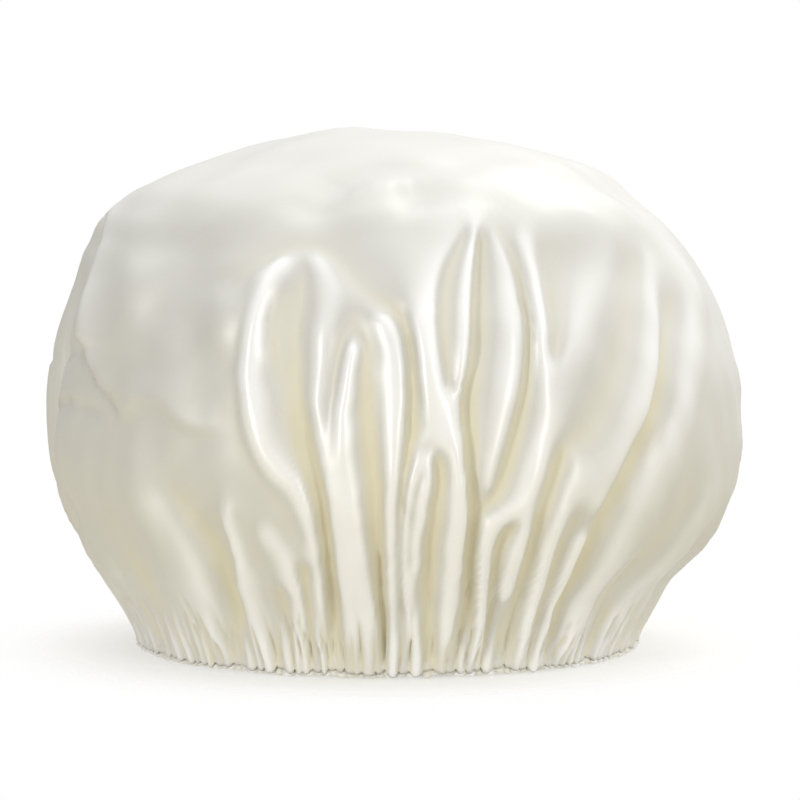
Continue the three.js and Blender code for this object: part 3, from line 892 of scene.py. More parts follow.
@dataclass
class Gathers:
    """Small pleats that the elastic draws in at the hem, and the sag of the crown over them."""

    camera: PhotoCamera
    outline: Outline
    groove_columns: Floats = (
        147, 232, 247, 267, 285, 302, 317, 332, 347, 363, 385,
        408, 430, 452, 475, 496, 516, 531, 554, 564, 588, 611,
    )
    groove_row: float = 642.0
    pitch: float = 7.0
    fine_pitch: float = 3.4
    lobe_depth: float = 2.2
    lobe_middle: float = 0.7
    lobe_reach: Pair = (16.0, 44.0)
    fine_depth: float = 2.7
    fine_middle: float = 0.6
    fine_reach: Pair = (6.0, 17.0)
    steps: Floats = (0, 1.5, 3, 4.5, 6, 7.5, 9, 11, 14, 18, 23, 30, 38, 45, 60, 75)
    lobe_radius: Floats = (
        87.3, 88.7, 89.6, 89.8, 89.8, 89.7, 90.3, 91.7, 94.6, 98.8, 103.6, 109.0, 113.8, 117.0, 122.2, 124.6,
    )
    lobe_level: Floats = (
        14.5, 14.9, 12.4, 7.8, 3.8, 0.9, 2.7, 6.9, 12.7, 19.2, 25.5, 31.6, 38.4, 44.4, 58.4, 73.0,
    )
    groove_radius: Floats = (
        87.3, 88.5, 89.2, 89.3, 89.3, 89.3, 89.7, 90.9, 94.8, 99.2, 104.0, 109.1, 113.8, 117.0, 122.2, 124.6,
    )
    groove_level: Floats = (
        14.5, 14.8, 12.9, 9.0, 5.3, 2.5, 4.2, 8.2, 13.5, 19.7, 25.8, 31.7, 38.4, 44.4, 58.4, 73.0,
    )
    seed: int = 5
    pleats: Pleats = field(init=False, repr=False)
    ruffles: Pleats = field(init=False, repr=False)

    def __post_init__(self) -> None:
        """Place the grooves: as photographed at the front, uneven elsewhere."""
        rng = np.random.default_rng(self.seed)
        pixels = np.array([(column, self.groove_row) for column in self.groove_columns], float)
        front, _ = self.camera.cast(pixels, self.outline)
        radius = self.outline.hem_radius
        gap = front[0] + TURN - front[-1]
        count = round(gap * radius / self.pitch)
        hidden = front[-1] + gap * (np.arange(1, count) + rng.uniform(-0.3, 0.3, count - 1)) / count
        grooves = np.concatenate((front, hidden))
        widths = np.diff(np.concatenate((grooves, [grooves[0] + TURN]))) * radius
        heights = np.clip((widths / self.pitch) ** 0.7, 0.55, 1.4) * rng.uniform(0.75, 1.15, len(grooves))
        self.pleats = Pleats(grooves, heights)
        fine = []
        for groove, width in zip(grooves, widths):
            parts = max(1, round(width / self.fine_pitch))
            uneven = np.where(np.arange(parts) > 0, rng.uniform(-0.25, 0.25, parts), 0.0)
            splits = (np.arange(parts) + uneven) / parts
            fine.extend(groove + splits * width / radius)
        self.ruffles = Pleats(np.array(fine), rng.uniform(0.45, 1.1, len(fine)))

    def lift(self, angle: Array, along: Array) -> Array:
        """Lift of the cloth by the pleats and the fine puckers.

        Args:
            angle: Angles of the points.
            along: Distances along the outline.

        Returns:
            How far the cloth stands out.
        """
        lobes = self.pleats.rise(angle, 0.5 + 0.5 * ease(along, 10.0, 30.0))
        reach = self.pleats.draw(self.seed + 1, self.lobe_reach, angle)
        band = ease(along, 8.0, 6.0) * (1.0 - ease(along, 10.0, reach))
        lift = self.lobe_depth * (lobes - self.lobe_middle) * band
        return lift + self.fine_depth * self.pucker(angle, along)

    def pucker(self, angle: Array, along: Array) -> Array:
        """Height share of the fine puckers just above the hem, about their middle."""
        reach = self.ruffles.draw(self.seed + 2, self.fine_reach, angle)
        wander = 0.008 * np.sin(0.35 * along + 17.0 * angle) + 0.005 * np.sin(0.6 * along + 31.0 * angle)
        fine = self.ruffles.rise(angle + wander * ease(along, 7.0, 10.0))
        strength = ease(along, 4.8, 2.0) * (0.5 + 0.5 * ease(along, 7.0, 4.0))
        return (fine - self.fine_middle) * strength * (1.0 - ease(along, 11.0, reach))

    def hang(self, angle: Array, along: Array) -> Array:
        """Sag of the crown over the casing: lobes hang low and the grooves between them are drawn up.

        Args:
            angle: Angles of the points.
            along: Distances along the outline.

        Returns:
            How far each point moves outwards and upwards.
        """
        fine = 0.55 * ease(along, 1.0, 3.0) * (1.0 - ease(along, 8.0, 12.0))
        wander = 0.010 * np.sin(0.5 * along + 13.0 * angle) * ease(along, 7.0, 6.0)
        lobes = self.pleats.rise(angle) * (1.0 - fine) + fine * self.ruffles.rise(angle + wander)
        share = np.clip(lobes, 0.0, 1.12)
        moved = []
        for low, high, base in (
            (self.lobe_radius, self.groove_radius, self.outline.radius),
            (self.lobe_level, self.groove_level, self.outline.level),
        ):
            at_low, at_high = np.interp(along, self.steps, low), np.interp(along, self.steps, high)
            on_base = np.interp(along, self.outline.distance, base)
            ends = 1.0 - ease(along, self.steps[-3], self.steps[-1] - self.steps[-3])
            moved.append((at_high + (at_low - at_high) * share - on_base) * ends * (along > 0.0))
        return np.stack(moved, axis=-1)

    def groove(self, angle: Array, along: Array) -> Array:
        """How deep in a groove the cloth lies, from 0 to 1."""
        wide = np.clip(1.0 - self.pleats.rise(angle), 0.0, 1.0) ** 1.5 * (1.0 - ease(along, 4.0, 26.0))
        return np.maximum(wide, np.clip(-2.0 * self.pucker(angle, along), 0.0, 1.0))


@dataclass(frozen=True)
class CrownPeak:
    """The soft peak that the cloth of the crown stands in, left of the middle."""

    place: Pair = (-15.0, -6.0)
    height: float = 3.2
    radius: float = 24.0
    above: float = 120.0

    def rise(self, points: Array) -> Array:
        """How far each point moves up."""
        away = np.hypot(points[..., 0] - self.place[0], points[..., 1] - self.place[1])
        return self.height * np.exp(-((away / self.radius) ** 2)) * (points[..., 2] > self.above)


@dataclass(frozen=True)
class Crumple:
    """Slight unevenness of cloth that has been folded and handled."""

    height: float = 0.42
    waves: int = 18
    longest: float = 62.0
    shortest: float = 17.0
    seed: int = 3

    def lift(self, angle: Array, along: Array, outline: Outline) -> Array:
        """Lift of the cloth by its unevenness."""
        rng = np.random.default_rng(self.seed)
        rho = outline.length - along
        x, y = rho * np.sin(angle), rho * np.cos(angle)
        total = np.zeros(angle.shape)
        for _ in range(self.waves):
            length = np.exp(rng.uniform(math.log(self.shortest), math.log(self.longest)))
            turn = rng.uniform(0.0, TURN)
            across = (x * math.cos(turn) + y * math.sin(turn)) / length
            total += (length / self.longest) ** 0.8 * np.sin(TURN * across + rng.uniform(0.0, TURN))
        return self.height * total / math.sqrt(self.waves) * 2.0


def mesh_object(name: str, points: Array, faces: list[tuple[int, ...]]) -> Object:
    """Make an object of a mesh.

    Args:
        name: Name of the object.
        points: Points in millimetres.
        faces: Faces, as tuples of point numbers.

    Returns:
        The object, linked to the scene and smooth.
    """
    mesh = bpy.data.meshes.new(name)
    mesh.from_pydata((points * MM).tolist(), [], faces)
    mesh.polygons.foreach_set("use_smooth", np.ones(len(mesh.polygons), bool))
    mesh.update()
    made = bpy.data.objects.new(name, mesh)
    bpy.context.scene.collection.objects.link(made)
    return made


def swept(name: str, sections: Array, ring: bool) -> Object:
    """Make a closed solid from sections along a path.

    Args:
        name: Name of the object.
        sections: Points of each section, in order round it.
        ring: Whether the last section joins the first, so that no end is left to close.

    Returns:
        The object, with its faces outward.
    """
    count, sides = sections.shape[:2]
    here, side = np.meshgrid(np.arange(count if ring else count - 1), np.arange(sides), indexing="ij")
    here, side = here.ravel(), side.ravel()
    ahead, beside = (here + 1) % count, (side + 1) % sides
    low, high = here * sides, ahead * sides
    quads = np.stack((low + side, high + side, high + beside, low + beside), axis=1)
    faces = [*map(tuple, quads.tolist())]
    if not ring:
        faces += [tuple(range(sides)), tuple(range((count - 1) * sides, count * sides))]
    made = mesh_object(name, sections.reshape(-1, 3), faces)
    shape = bmesh.new()
    shape.from_mesh(made.data)
    bmesh.ops.recalc_face_normals(shape, faces=shape.faces)
    shape.to_mesh(made.data)
    shape.free()
    return made


def domed_sheet(name: str, outside: Array, thickness: float) -> Object:
    """Make a closed thin sheet that covers a dome.

    Args:
        name: Name of the object.
        outside: Points of its outer face, in rings from the hem to the crown, whose last ring is one point.
        thickness: Thickness of the sheet.

    Returns:
        The object.
    """
    rings, columns = outside.shape[0] - 1, outside.shape[1]
    body = outside[:rings]
    pole = outside[rings, 0]
    around = np.roll(body, -1, axis=1) - np.roll(body, 1, axis=1)
    up = np.gradient(np.concatenate((body, np.broadcast_to(pole, (1, columns, 3)))), axis=0)[:rings]
    normal = np.cross(around, up)
    normal /= np.linalg.norm(normal, axis=-1, keepdims=True) + 1e-12
    inner = body - thickness * normal
    points = np.concatenate(
        (body.reshape(-1, 3), pole[None], inner.reshape(-1, 3), pole[None] - np.array((0.0, 0.0, thickness)))
    )
    half = rings * columns + 1
    ring, column = np.meshgrid(np.arange(rings - 1), np.arange(columns), indexing="ij")
    ring, column = ring.ravel(), column.ravel()
    beside = (column + 1) % columns
    low, high = ring * columns, (ring + 1) * columns
    outer = np.stack((low + column, low + beside, high + beside, high + column), axis=1)
    quads = np.concatenate((outer, outer[:, ::-1] + half))
    edge = np.arange(columns)
    after = (edge + 1) % columns
    rim = np.stack((edge + half, after + half, after, edge), axis=1)
    top = (rings - 1) * columns
    fan = np.stack((top + edge, top + after, np.full(columns, rings * columns)), axis=1)
    faces = [*map(tuple, np.concatenate((quads, rim)).tolist()), *map(tuple, fan.tolist())]
    faces += [*map(tuple, (fan[:, ::-1] + half).tolist())]
    return mesh_object(name, points, faces)


def set_cut_map(piece: Object, flat: Array) -> None:
    """Give a sheet the map of its flat cut, in centimetres.

    Args:
        piece: The sheet.
        flat: Place of each point on the flat cut, in millimetres.
    """
    layer = piece.data.uv_layers.new(name="cut")
    corners = np.zeros(len(piece.data.loops), int)
    piece.data.loops.foreach_get("vertex_index", corners)
    layer.data.foreach_set("uv", (flat[corners] * CUT_SCALE).astype(np.float32).ravel())


def set_value(piece: Object, name: str, values: Array) -> None:
    """Give each point of a piece a value that its material reads."""
    attribute = piece.data.attributes.new(name, "FLOAT", "POINT")
    attribute.data.foreach_set("value", values.astype(np.float32))


class NodeCanvas:
    """A node tree under construction."""

    def __init__(self, tree: bpy.types.NodeTree) -> None:
        """Take the tree to work on."""
        self.tree = tree
        self.placed = 0

    def add(self, kind: str, **values: object) -> bpy.types.Node:
        """Add a node.

        Args:
            kind: Type of the node.
            values: Its properties.

        Returns:
            The node.
        """
        node = self.tree.nodes.new(kind)
        node.location = (190.0 * (self.placed % 8), -220.0 * (self.placed // 8))
        self.placed += 1
        for key, value in values.items():
            setattr(node, key, value)
        return node

    def link(self, source: Socket, target: Socket) -> None:
        """Join two sockets."""
        self.tree.links.new(source, target)

    def math(self, operation: str, *terms: object) -> Socket:
        """Add a sum.

        Args:
            operation: Kind of sum.
            terms: Sockets or numbers.

        Returns:
            The result's socket.
        """
        node = self.add("ShaderNodeMath", operation=operation)
        for socket, value in zip(node.inputs, terms):
            if isinstance(value, Socket):
                self.link(value, socket)
            else:
                socket.default_value = value
        return node.outputs[0]

    def mix(self, share: object, first: object, second: object) -> Socket:
        """Mix two colours.

        Args:
            share: A socket or a number from 0 to 1.
            first: A socket or a colour, at share 0.
            second: A socket or a colour, at share 1.

        Returns:
            The colour's socket.
        """
        node = self.add("ShaderNodeMix", data_type="RGBA")
        for index, value in ((0, share), (6, first), (7, second)):
            if isinstance(value, Socket):
                self.link(value, node.inputs[index])
            else:
                node.inputs[index].default_value = value if index == 0 else (*value, 1.0)
        return node.outputs[2]

    def stretched(self, place: Socket, scale: Three) -> Socket:
        """Scale places along each axis.

        Args:
            place: The places.
            scale: Scale along each axis.

        Returns:
            The socket of the scaled places.
        """
        node = self.add("ShaderNodeMapping")
        node.inputs["Scale"].default_value = scale
        self.link(place, node.inputs["Vector"])
        return node.outputs[0]

    def noise(self, place: Socket, scale: float, detail: float = 2.0) -> Socket:
        """Add a noise.

        Args:
            place: Where it is read.
            scale: How fine it is.
            detail: How many finer layers it has.

        Returns:
            Its value's socket.
        """
        node = self.add("ShaderNodeTexNoise")
        node.inputs["Scale"].default_value = scale
        node.inputs["Detail"].default_value = detail
        self.link(place, node.inputs["Vector"])
        return node.outputs[0]

    def bumped(self, height: Socket, strength: float, distance: float) -> Socket:
        """Add a bump.

        Args:
            height: Its height.
            strength: How strongly it shows.
            distance: How high it is, in metres.

        Returns:
            Its normal's socket.
        """
        node = self.add("ShaderNodeBump")
        node.inputs["Strength"].default_value = strength
        node.inputs["Distance"].default_value = distance
        self.link(height, node.inputs["Height"])
        return node.outputs[0]


def new_material(name: str) -> tuple[bpy.types.Material, NodeCanvas, bpy.types.Node]:
    """Make a material.

    Args:
        name: Its name.

    Returns:
        The material, its tree and its shader.
    """
    made = bpy.data.materials.new(name)
    made.use_nodes = True
    return made, NodeCanvas(made.node_tree), made.node_tree.nodes["Principled BSDF"]


def dimmed(colour: Three, share: float) -> Three:
    """A share of a colour's light."""
    return tuple(share * part for part in colour)


def woven_group() -> bpy.types.NodeTree:
    """The weave of a cloth, as a height and a tone over its flat cut."""
    existing = bpy.data.node_groups.get("woven_threads")
    if existing:
        return existing
    tree = bpy.data.node_groups.new("woven_threads", "ShaderNodeTree")
    tree.interface.new_socket("Cut", in_out="INPUT", socket_type="NodeSocketVector")
    pitch = tree.interface.new_socket("Threads per centimetre", in_out="INPUT", socket_type="NodeSocketFloat")
    pitch.default_value = 16.0
    tree.interface.new_socket("Height", in_out="OUTPUT", socket_type="NodeSocketFloat")
    tree.interface.new_socket("Tone", in_out="OUTPUT", socket_type="NodeSocketFloat")
    canvas = NodeCanvas(tree)
    inside = canvas.add("NodeGroupInput")
    outside = canvas.add("NodeGroupOutput")
    scaled = canvas.add("ShaderNodeVectorMath", operation="SCALE")
    canvas.link(inside.outputs["Cut"], scaled.inputs[0])
    canvas.link(inside.outputs["Threads per centimetre"], scaled.inputs["Scale"])
    threads = canvas.noise(canvas.stretched(scaled.outputs[0], (0.16, 1.0, 1.0)), 1.0)
    bands = canvas.noise(canvas.stretched(scaled.outputs[0], (0.012, 0.10, 1.0)), 1.0, 3.0)
    height = canvas.math("ADD", threads, canvas.math("MULTIPLY", bands, 0.6))
    canvas.link(height, outside.inputs["Height"])
    tone = canvas.math("ADD", canvas.math("MULTIPLY", threads, 0.5), canvas.math("MULTIPLY", bands, 0.5))
    canvas.link(tone, outside.inputs["Tone"])
    return tree


@dataclass(frozen=True)
class SatinFinish:
    """Ivory satin: a smooth sheen on the floats of its weave, with painted highlight on the crests of its folds
    and painted shade, darker and warmer, deep between them.
    """

    name: str = "ivory_satin"
    # light is the cloth's colour between the folds; bright is the painted highlight of a crest; deep is the
    # painted shade, with its warm bounced light, between folds.
    light: Three = (0.635, 0.628, 0.586)
    bright: Three = (0.895, 0.895, 0.88)
    deep: Three = (0.72, 0.672, 0.50)
    painted_shade_share: float = 0.9
    weave_tone: float = 0.05
    weave_gloss: float = 0.14
    roughness: float = 0.38
    deep_dulling: float = 0.4
    crest_gloss: float = 0.04
    bump: float = 0.07
    bump_height: float = 0.0003
    ior: float = 1.5
    specular: float = 0.55
    metallic: float = 0.1
    sheen: float = 0.12
    sheen_roughness: float = 0.4

    def material(self) -> bpy.types.Material:
        """Make the material."""
        made, canvas, shader = new_material(self.name)
        cut = canvas.add("ShaderNodeUVMap", uv_map="cut")
        weave = canvas.add("ShaderNodeGroup", node_tree=woven_group())
        canvas.link(cut.outputs[0], weave.inputs["Cut"])
        # The crest value brings in painted highlight and the depth value painted shade, both worked out from
        # the folds.
        crest = canvas.add("ShaderNodeAttribute", attribute_name="crest").outputs["Fac"]
        depth = canvas.add("ShaderNodeAttribute", attribute_name="depth").outputs["Fac"]
        lit = canvas.mix(crest, self.light, self.bright)
        shaded_colour = canvas.mix(canvas.math("MULTIPLY", depth, self.painted_shade_share), lit, self.deep)
        toned = canvas.add("ShaderNodeHueSaturation")
        tone = weave.outputs["Tone"]
        spread = canvas.math("MULTIPLY_ADD", tone, self.weave_tone, 1.0 - 0.5 * self.weave_tone)
        canvas.link(spread, toned.inputs["Value"])
        canvas.link(shaded_colour, toned.inputs["Color"])
        canvas.link(toned.outputs[0], shader.inputs["Base Color"])
        gloss = canvas.math("MULTIPLY_ADD", tone, self.weave_gloss, self.roughness - 0.5 * self.weave_gloss)
        duller = canvas.math("MULTIPLY", depth, self.deep_dulling)
        glossier = canvas.math("MULTIPLY", crest, self.crest_gloss)
        evened = canvas.math("SUBTRACT", canvas.math("ADD", gloss, duller), glossier)
        canvas.link(evened, shader.inputs["Roughness"])
        normal = canvas.bumped(weave.outputs["Height"], self.bump, self.bump_height)
        canvas.link(normal, shader.inputs["Normal"])
        shader.inputs["IOR"].default_value = self.ior
        shader.inputs["Specular IOR Level"].default_value = self.specular
        shader.inputs["Metallic"].default_value = self.metallic
        shader.inputs["Sheen Weight"].default_value = self.sheen
        shader.inputs["Sheen Roughness"].default_value = self.sheen_roughness
        return made


@dataclass(frozen=True)
class FilmFinish:
    """Milky waterproof film with a faint crinkle."""

    name: str = "lining_film"
    colour: Three = (0.86, 0.86, 0.84)
    dim: float = 0.93
    crinkle: float = 70.0
    crinkle_layers: float = 5.0
    roughness: float = 0.34
    gloss_spread: float = 0.2
    bump: float = 0.3
    bump_height: float = 0.001

    def material(self) -> bpy.types.Material:
        """Make the material."""
        made, canvas, shader = new_material(self.name)
        place = canvas.add("ShaderNodeTexCoord").outputs["Object"]
        crinkle = canvas.noise(place, self.crinkle, self.crinkle_layers)
        tone = canvas.mix(crinkle, dimmed(self.colour, self.dim), self.colour)
        canvas.link(tone, shader.inputs["Base Color"])
        least = self.roughness - 0.5 * self.gloss_spread
        gloss = canvas.math("MULTIPLY_ADD", crinkle, self.gloss_spread, least)
        canvas.link(gloss, shader.inputs["Roughness"])
        canvas.link(canvas.bumped(crinkle, self.bump, self.bump_height), shader.inputs["Normal"])
        return made


@dataclass(frozen=True)
class ThreadFinish:
    """Ivory sewing thread, twisted from fine plies."""

    name: str = "ivory_thread"
    colour: Three = (0.88, 0.85, 0.76)
    dim: float = 0.86
    plies: float = 900.0
    roughness: float = 0.55

    def material(self) -> bpy.types.Material:
        """Make the material."""
        made, canvas, shader = new_material(self.name)
        plies = canvas.noise(canvas.add("ShaderNodeTexCoord").outputs["Object"], self.plies)
        tone = canvas.mix(plies, dimmed(self.colour, self.dim), self.colour)
        canvas.link(tone, shader.inputs["Base Color"])
        shader.inputs["Roughness"].default_value = self.roughness
        return made


@dataclass(frozen=True)
class ElasticFinish:
    """White elastic, with threads wound between its ribs."""

    name: str = "ribbed_elastic"
    colour: Three = (0.86, 0.85, 0.81)
    dim: float = 0.82
    threads: float = 1400.0
    stretch: Three = (1.0, 1.0, 0.25)
    roughness: float = 0.72

    def material(self) -> bpy.types.Material:
        """Make the material."""
        made, canvas, shader = new_material(self.name)
        place = canvas.stretched(canvas.add("ShaderNodeTexCoord").outputs["Object"], self.stretch)
        wound = canvas.noise(place, self.threads)
        tone = canvas.mix(wound, dimmed(self.colour, self.dim), self.colour)
        canvas.link(tone, shader.inputs["Base Color"])
        shader.inputs["Roughness"].default_value = self.roughness
        return made


@dataclass
class SatinShell:
    """The outer cloth of the crown."""

    outline: Outline
    folds: FoldField
    lines: LineField
    gathers: Gathers
    crumple: Crumple
    peak: CrownPeak
    thickness: float = 0.5
    columns: int = 400
    rings: tuple[tuple[int, float], ...] = ((12, 10.5), (13, 32.0), (40, 110.0), (46, 200.0))
    crown_rings: int = 9
    front_density: float = 0.55
    tuck: float = 4.8
    folds_from: Pair = (2.0, 14.0)
    crumple_from: Pair = (4.0, 20.0)
    # From here the fields set the painted shade and painted highlight in the cloth's colour: where and how
    # strongly they change with height, on the puckers and in the hem's grooves, and how sharply painted shade
    # gathers between folds.
    flank_from: Pair = (60.0, 60.0)
    pale_from: Pair = (70.0, 60.0)
    low_painted_shade: float = 0.14
    low_painted_highlight: float = 0.25
    high_paling: float = 0.4
    pucker_tone: float = 2.4
    groove_painted_shade: float = 1.2
    painted_shade_power: float = 1.4
    cut_diameter: float = 550.0
    piece: Object | None = None

    def layout(self) -> tuple[Array, Array]:
        """Angles of the columns and distances of the rings, closer at the front and at the hem."""
        turn = np.arange(self.columns) * TURN / self.columns
        angle = turn - self.front_density * np.sin(turn)
        along, start = [np.array((-self.tuck, -0.5 * self.tuck, 0.0))], 0.0
        for count, end in (*self.rings, (self.crown_rings, self.outline.length)):
            along.append(np.linspace(start, end, count + 1)[1:])
            start = end
        return angle, np.concatenate(along)

    def build(self) -> Object:
        """Fold the cloth and make it a closed sheet."""
        angle, along = self.layout()
        turn, rise = np.meshgrid(angle, along, indexing="xy")
        lift, shift = self.folds.measure(turn, rise, crisp=False)
        pressed, pushed = self.folds.measure(turn, rise, crisp=True)
        lift = self.folds.soften(lift, turn, rise) + self.lines.measure(turn, rise) + pressed
        shift += pushed
        lift = lift * ease(rise, *self.folds_from) + self.gathers.lift(turn, rise)
        lift += self.crumple.lift(turn, rise, self.outline) * ease(rise, *self.crumple_from)
        lift = np.where(rise < 0.0, lift * np.clip(1.0 + rise / self.tuck, 0.0, 1.0), lift)
        around = np.interp(np.maximum(rise, 0.0), self.outline.distance, self.outline.radius)
        swung = turn + shift / np.maximum(around, LEAST_RADIUS)
        points = self.outline.point(swung, rise, lift)
        hang = self.gathers.hang(turn, rise)
        points += ring_points(hang[..., 0], swung, hang[..., 1])
        points[-1] = points[-1].mean(axis=0)
        points[..., 2] += self.peak.rise(points)
        self.piece = domed_sheet("satin_shell", points, self.thickness)
        self.map_cut(turn, rise)
        self.paint_shade_and_highlight(turn, rise)
        return self.piece

    def map_cut(self, turn: Array, rise: Array) -> None:
        """Lay the map of the flat cut on both faces of the cloth, with its middle at the crown.

        Args:
            turn: Angles of the points.
            rise: Their distances along the outline.
        """
        rho = np.maximum(self.outline.length - rise, 0.0)
        flat = np.stack((rho * np.sin(turn), rho * np.cos(turn)), axis=-1)[:-1]
        face = np.concatenate((flat.reshape(-1, 2), np.zeros((1, 2))))
        set_cut_map(self.piece, np.concatenate((face, face)))

    def paint_shade_and_highlight(self, turn: Array, rise: Array) -> None:
        """Paint shade and highlight into both faces: how deep in painted shade between the folds, or how bright
        with painted highlight on a crest, each point lies.

        Args:
            turn: Angles of the points.
            rise: Their distances along the outline.
        """
        tone = self.lines.tone(turn, rise) * ease(rise, *self.folds_from)
        # Low on the cap the painted highlight on crests is stronger and the painted shade warmer.
        low = 1.0 - ease(rise, *self.flank_from)
        tone *= 1.0 + self.low_painted_highlight * (tone > 0.0) * low
        # Painted shade and highlight on the fine puckers, then painted shade: paler high up, stronger in the
        # hem's grooves.
        tone += self.pucker_tone * self.gathers.pucker(turn, rise)
        deep = np.clip(-tone, 0.0, 1.0) ** self.painted_shade_power
        deep *= 1.0 - self.high_paling * ease(rise, *self.pale_from)
        deep += self.groove_painted_shade * self.gathers.groove(turn, rise)
        deep = np.clip(deep + self.low_painted_shade * low, 0.0, 1.0)
        for name, value in (("depth", deep), ("crest", np.clip(tone, 0.0, 1.0))):
            face = np.concatenate((value[:-1].ravel(), [0.0]))
            set_value(self.piece, name, np.concatenate((face, face)))

    def dress(self, satin: bpy.types.Material) -> None:
        """Give the shell its finish and put it in the place of its solid."""
        self.piece.data.materials.append(satin)
        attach(self.piece, "root")
        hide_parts("outer_shell")


@dataclass
class HemRuffle:
    """The casing: a strip folded over the gathered edges, finely ruffled by the elastic."""

    gathers: Gathers
    top: float = 14.1
    outer_wall: float = 87.9
    inner_wall: float = 84.0
    ripple: float = 1.7
    flare: float = 0.15
    edge_lift: float = 1.3
    stitch_level: float = 11.4
    thickness: float = 0.45
    columns: int = 1400
    levels: Floats = (14.1, 12.9, 11.4, 9.9, 8.4, 6.9, 5.4, 3.9, 2.4, 1.2, 0.4)
    lining_levels: Floats = (1.2, 6.0, 11.0, 14.1)
    tunnel_in_levels: Floats = (14.1, 6.0, 1.6)
    tunnel_out_levels: Floats = (1.6, 5.4, 9.9, 11.4, 14.1)
    cut_scale: Pair = (270.0, 3.0)
    strip: Pair = (34.0, 700.0)
    seed: int = 8
    piece: Object | None = None

    def ruffle(self, angle: Array, level: float) -> Array:
        """Height share of the ruffles, which wander sideways from the top to the bottom."""
        wander = 0.012 * np.sin(0.32 * level + 11.0 * angle) + 0.006 * np.sin(0.8 * level + 29.0 * angle)
        return self.gathers.ruffles.rise(angle + wander * (1.0 - level / self.top))

    def wall(self, angle: Array, level: float) -> Array:
        """Radius of the outside of the outer wall at a height."""
        share = level / self.top
        pinch = 1.0 - 0.8 * math.exp(-(((level - self.stitch_level) / 1.4) ** 2))
        drawn = 0.15 + 0.85 * (1.0 - ease(share, 0.03, 0.16))
        out = self.ripple * self.ruffle(angle, level) * drawn
        belly = self.flare * math.sin(math.pi * min(1.0, share / 0.8)) ** 0.8
        return self.outer_wall + self.thickness + pinch * (out + belly)

    def inside(self, angle: Array) -> Array:
        """Radius of the inside of the inner wall."""
        return self.inner_wall - self.thickness - 0.9 * self.ruffle(angle, 0.0)

    def build(self) -> Object:
        """Sweep the folded strip round the hem."""
        angle = np.arange(self.columns) * TURN / self.columns
        ruffle = self.ruffle(angle, 0.0)
        lifted = self.edge_lift * self.gathers.ruffles.draw(self.seed, (0.0, 1.0), angle)
        spread = np.exp(-(np.linspace(-2.0, 2.0, 9) ** 2))
        lifted = np.concatenate((lifted[-4:], lifted, lifted[:4]))
        lifted = np.convolve(lifted, spread / spread.sum(), "valid")
        lifted = lifted * (1.15 - 0.6 * ruffle)
        rows = [(self.wall(angle, z), z + lifted * (1.0 - z / self.top) ** 2) for z in self.levels]
        low_out = self.wall(angle, self.levels[-1]) - 0.6
        inside = self.inside(angle)
        rows += [(low_out, lifted), (0.5 * (low_out + inside), lifted * 0.8), (inside + 0.8, lifted * 0.6)]
        rows += [(inside, z + 0.0 * angle) for z in self.lining_levels]
        rows += [(inside + self.thickness, z + 0.0 * angle) for z in self.tunnel_in_levels]
        bottom = lifted + self.thickness
        rows += [(inside + 1.3, bottom), (low_out - 0.5, bottom)]
        for z in self.tunnel_out_levels:
            rows.append((self.wall(angle, z) - self.thickness, np.maximum(z + 0.0 * angle, bottom + 0.2)))
        radius = np.stack([r for r, _ in rows])
        level = np.stack([z for _, z in rows])
        self.piece = swept("hem_ruffle", ring_points(radius, angle, level).swapaxes(0, 1), ring=True)
        across = np.broadcast_to(angle * self.cut_scale[0], radius.shape)
        flat = np.stack((across, level * self.cut_scale[1]), axis=-1)
        set_cut_map(self.piece, flat.swapaxes(0, 1).reshape(-1, 2))
        # Painted shade in the grooves of the ruffles and painted highlight on their crests, with some of each
        # all round the casing.
        deep = 0.2 + 0.8 * np.clip(0.8 - ruffle, 0.0, 1.0)
        lit = np.clip(0.25 + 0.6 * ruffle, 0.0, 1.0)
        for name, share in (("depth", deep), ("crest", lit)):
            set_value(self.piece, name, np.broadcast_to(share, radius.shape).T.reshape(-1))
        return self.piece

    def dress(self, satin: bpy.types.Material) -> None:
        """Give the casing its finish and put it in the place of its solid."""
        self.piece.data.materials.append(satin)
        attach(self.piece, "root")
        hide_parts("hem_casing")


@dataclass
class FilmLining:
    """The waterproof film inside the crown, which follows the folds of the satin and is gathered with it."""

    outline: Outline
    folds: FoldField
    lines: LineField
    gathers: Gathers
    inset: float = 1.7
    hem_inset: float = 5.0
    pucker: float = 6.6
    thickness: float = 0.3
    columns: int = 680
    rings: int = 52
    tuck: float = 4.4
    clearance: float = 1.6
    highest: float = 1.0
    under: float = 0.9
    cut_diameter: float = 540.0
    piece: Object | None = None

    def build(self) -> Object:
        """Lay the film inside the satin."""
        angle = np.arange(self.columns) * TURN / self.columns
        share = np.linspace(0.0, 1.0, self.rings + 1)
        along = np.concatenate(([-self.tuck], self.outline.length * share**1.2))
        turn, rise = np.meshgrid(angle, along, indexing="xy")
        lift, _ = self.folds.measure(turn, rise)
        lift = (lift + self.lines.measure(turn, rise)) * ease(rise, -1.0, 14.0)
        deeper = np.stack([np.roll(lift, k, axis=1) for k in range(-6, 7)]).min(axis=0)
        lift = np.minimum(deeper - self.clearance * ease(rise, 0.0, 10.0), self.highest)
        lift = lift - self.inset * ease(rise, -3.0, 6.0) - self.under
        lift -= self.hem_inset * ease(rise, 2.0, 8.0) * (1.0 - ease(rise, 30.0, 30.0))
        drawn = ease(rise, 1.0, 16.0) * (1.0 - ease(rise, 70.0, 100.0))
        lift -= self.pucker * drawn * (1.0 - np.clip(self.gathers.pleats.rise(turn, 0.8), 0.0, 1.0))
        points = self.outline.point(turn, rise, lift)
        points[-1] = points[-1].mean(axis=0)
        self.piece = domed_sheet("film_lining", points, self.thickness)
        return self.piece

    def dress(self, film: bpy.types.Material) -> None:
        """Give the lining its finish and put it in the place of its solid."""
        self.piece.data.materials.append(film)
        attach(self.piece, "root")
        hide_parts("waterproof_lining")


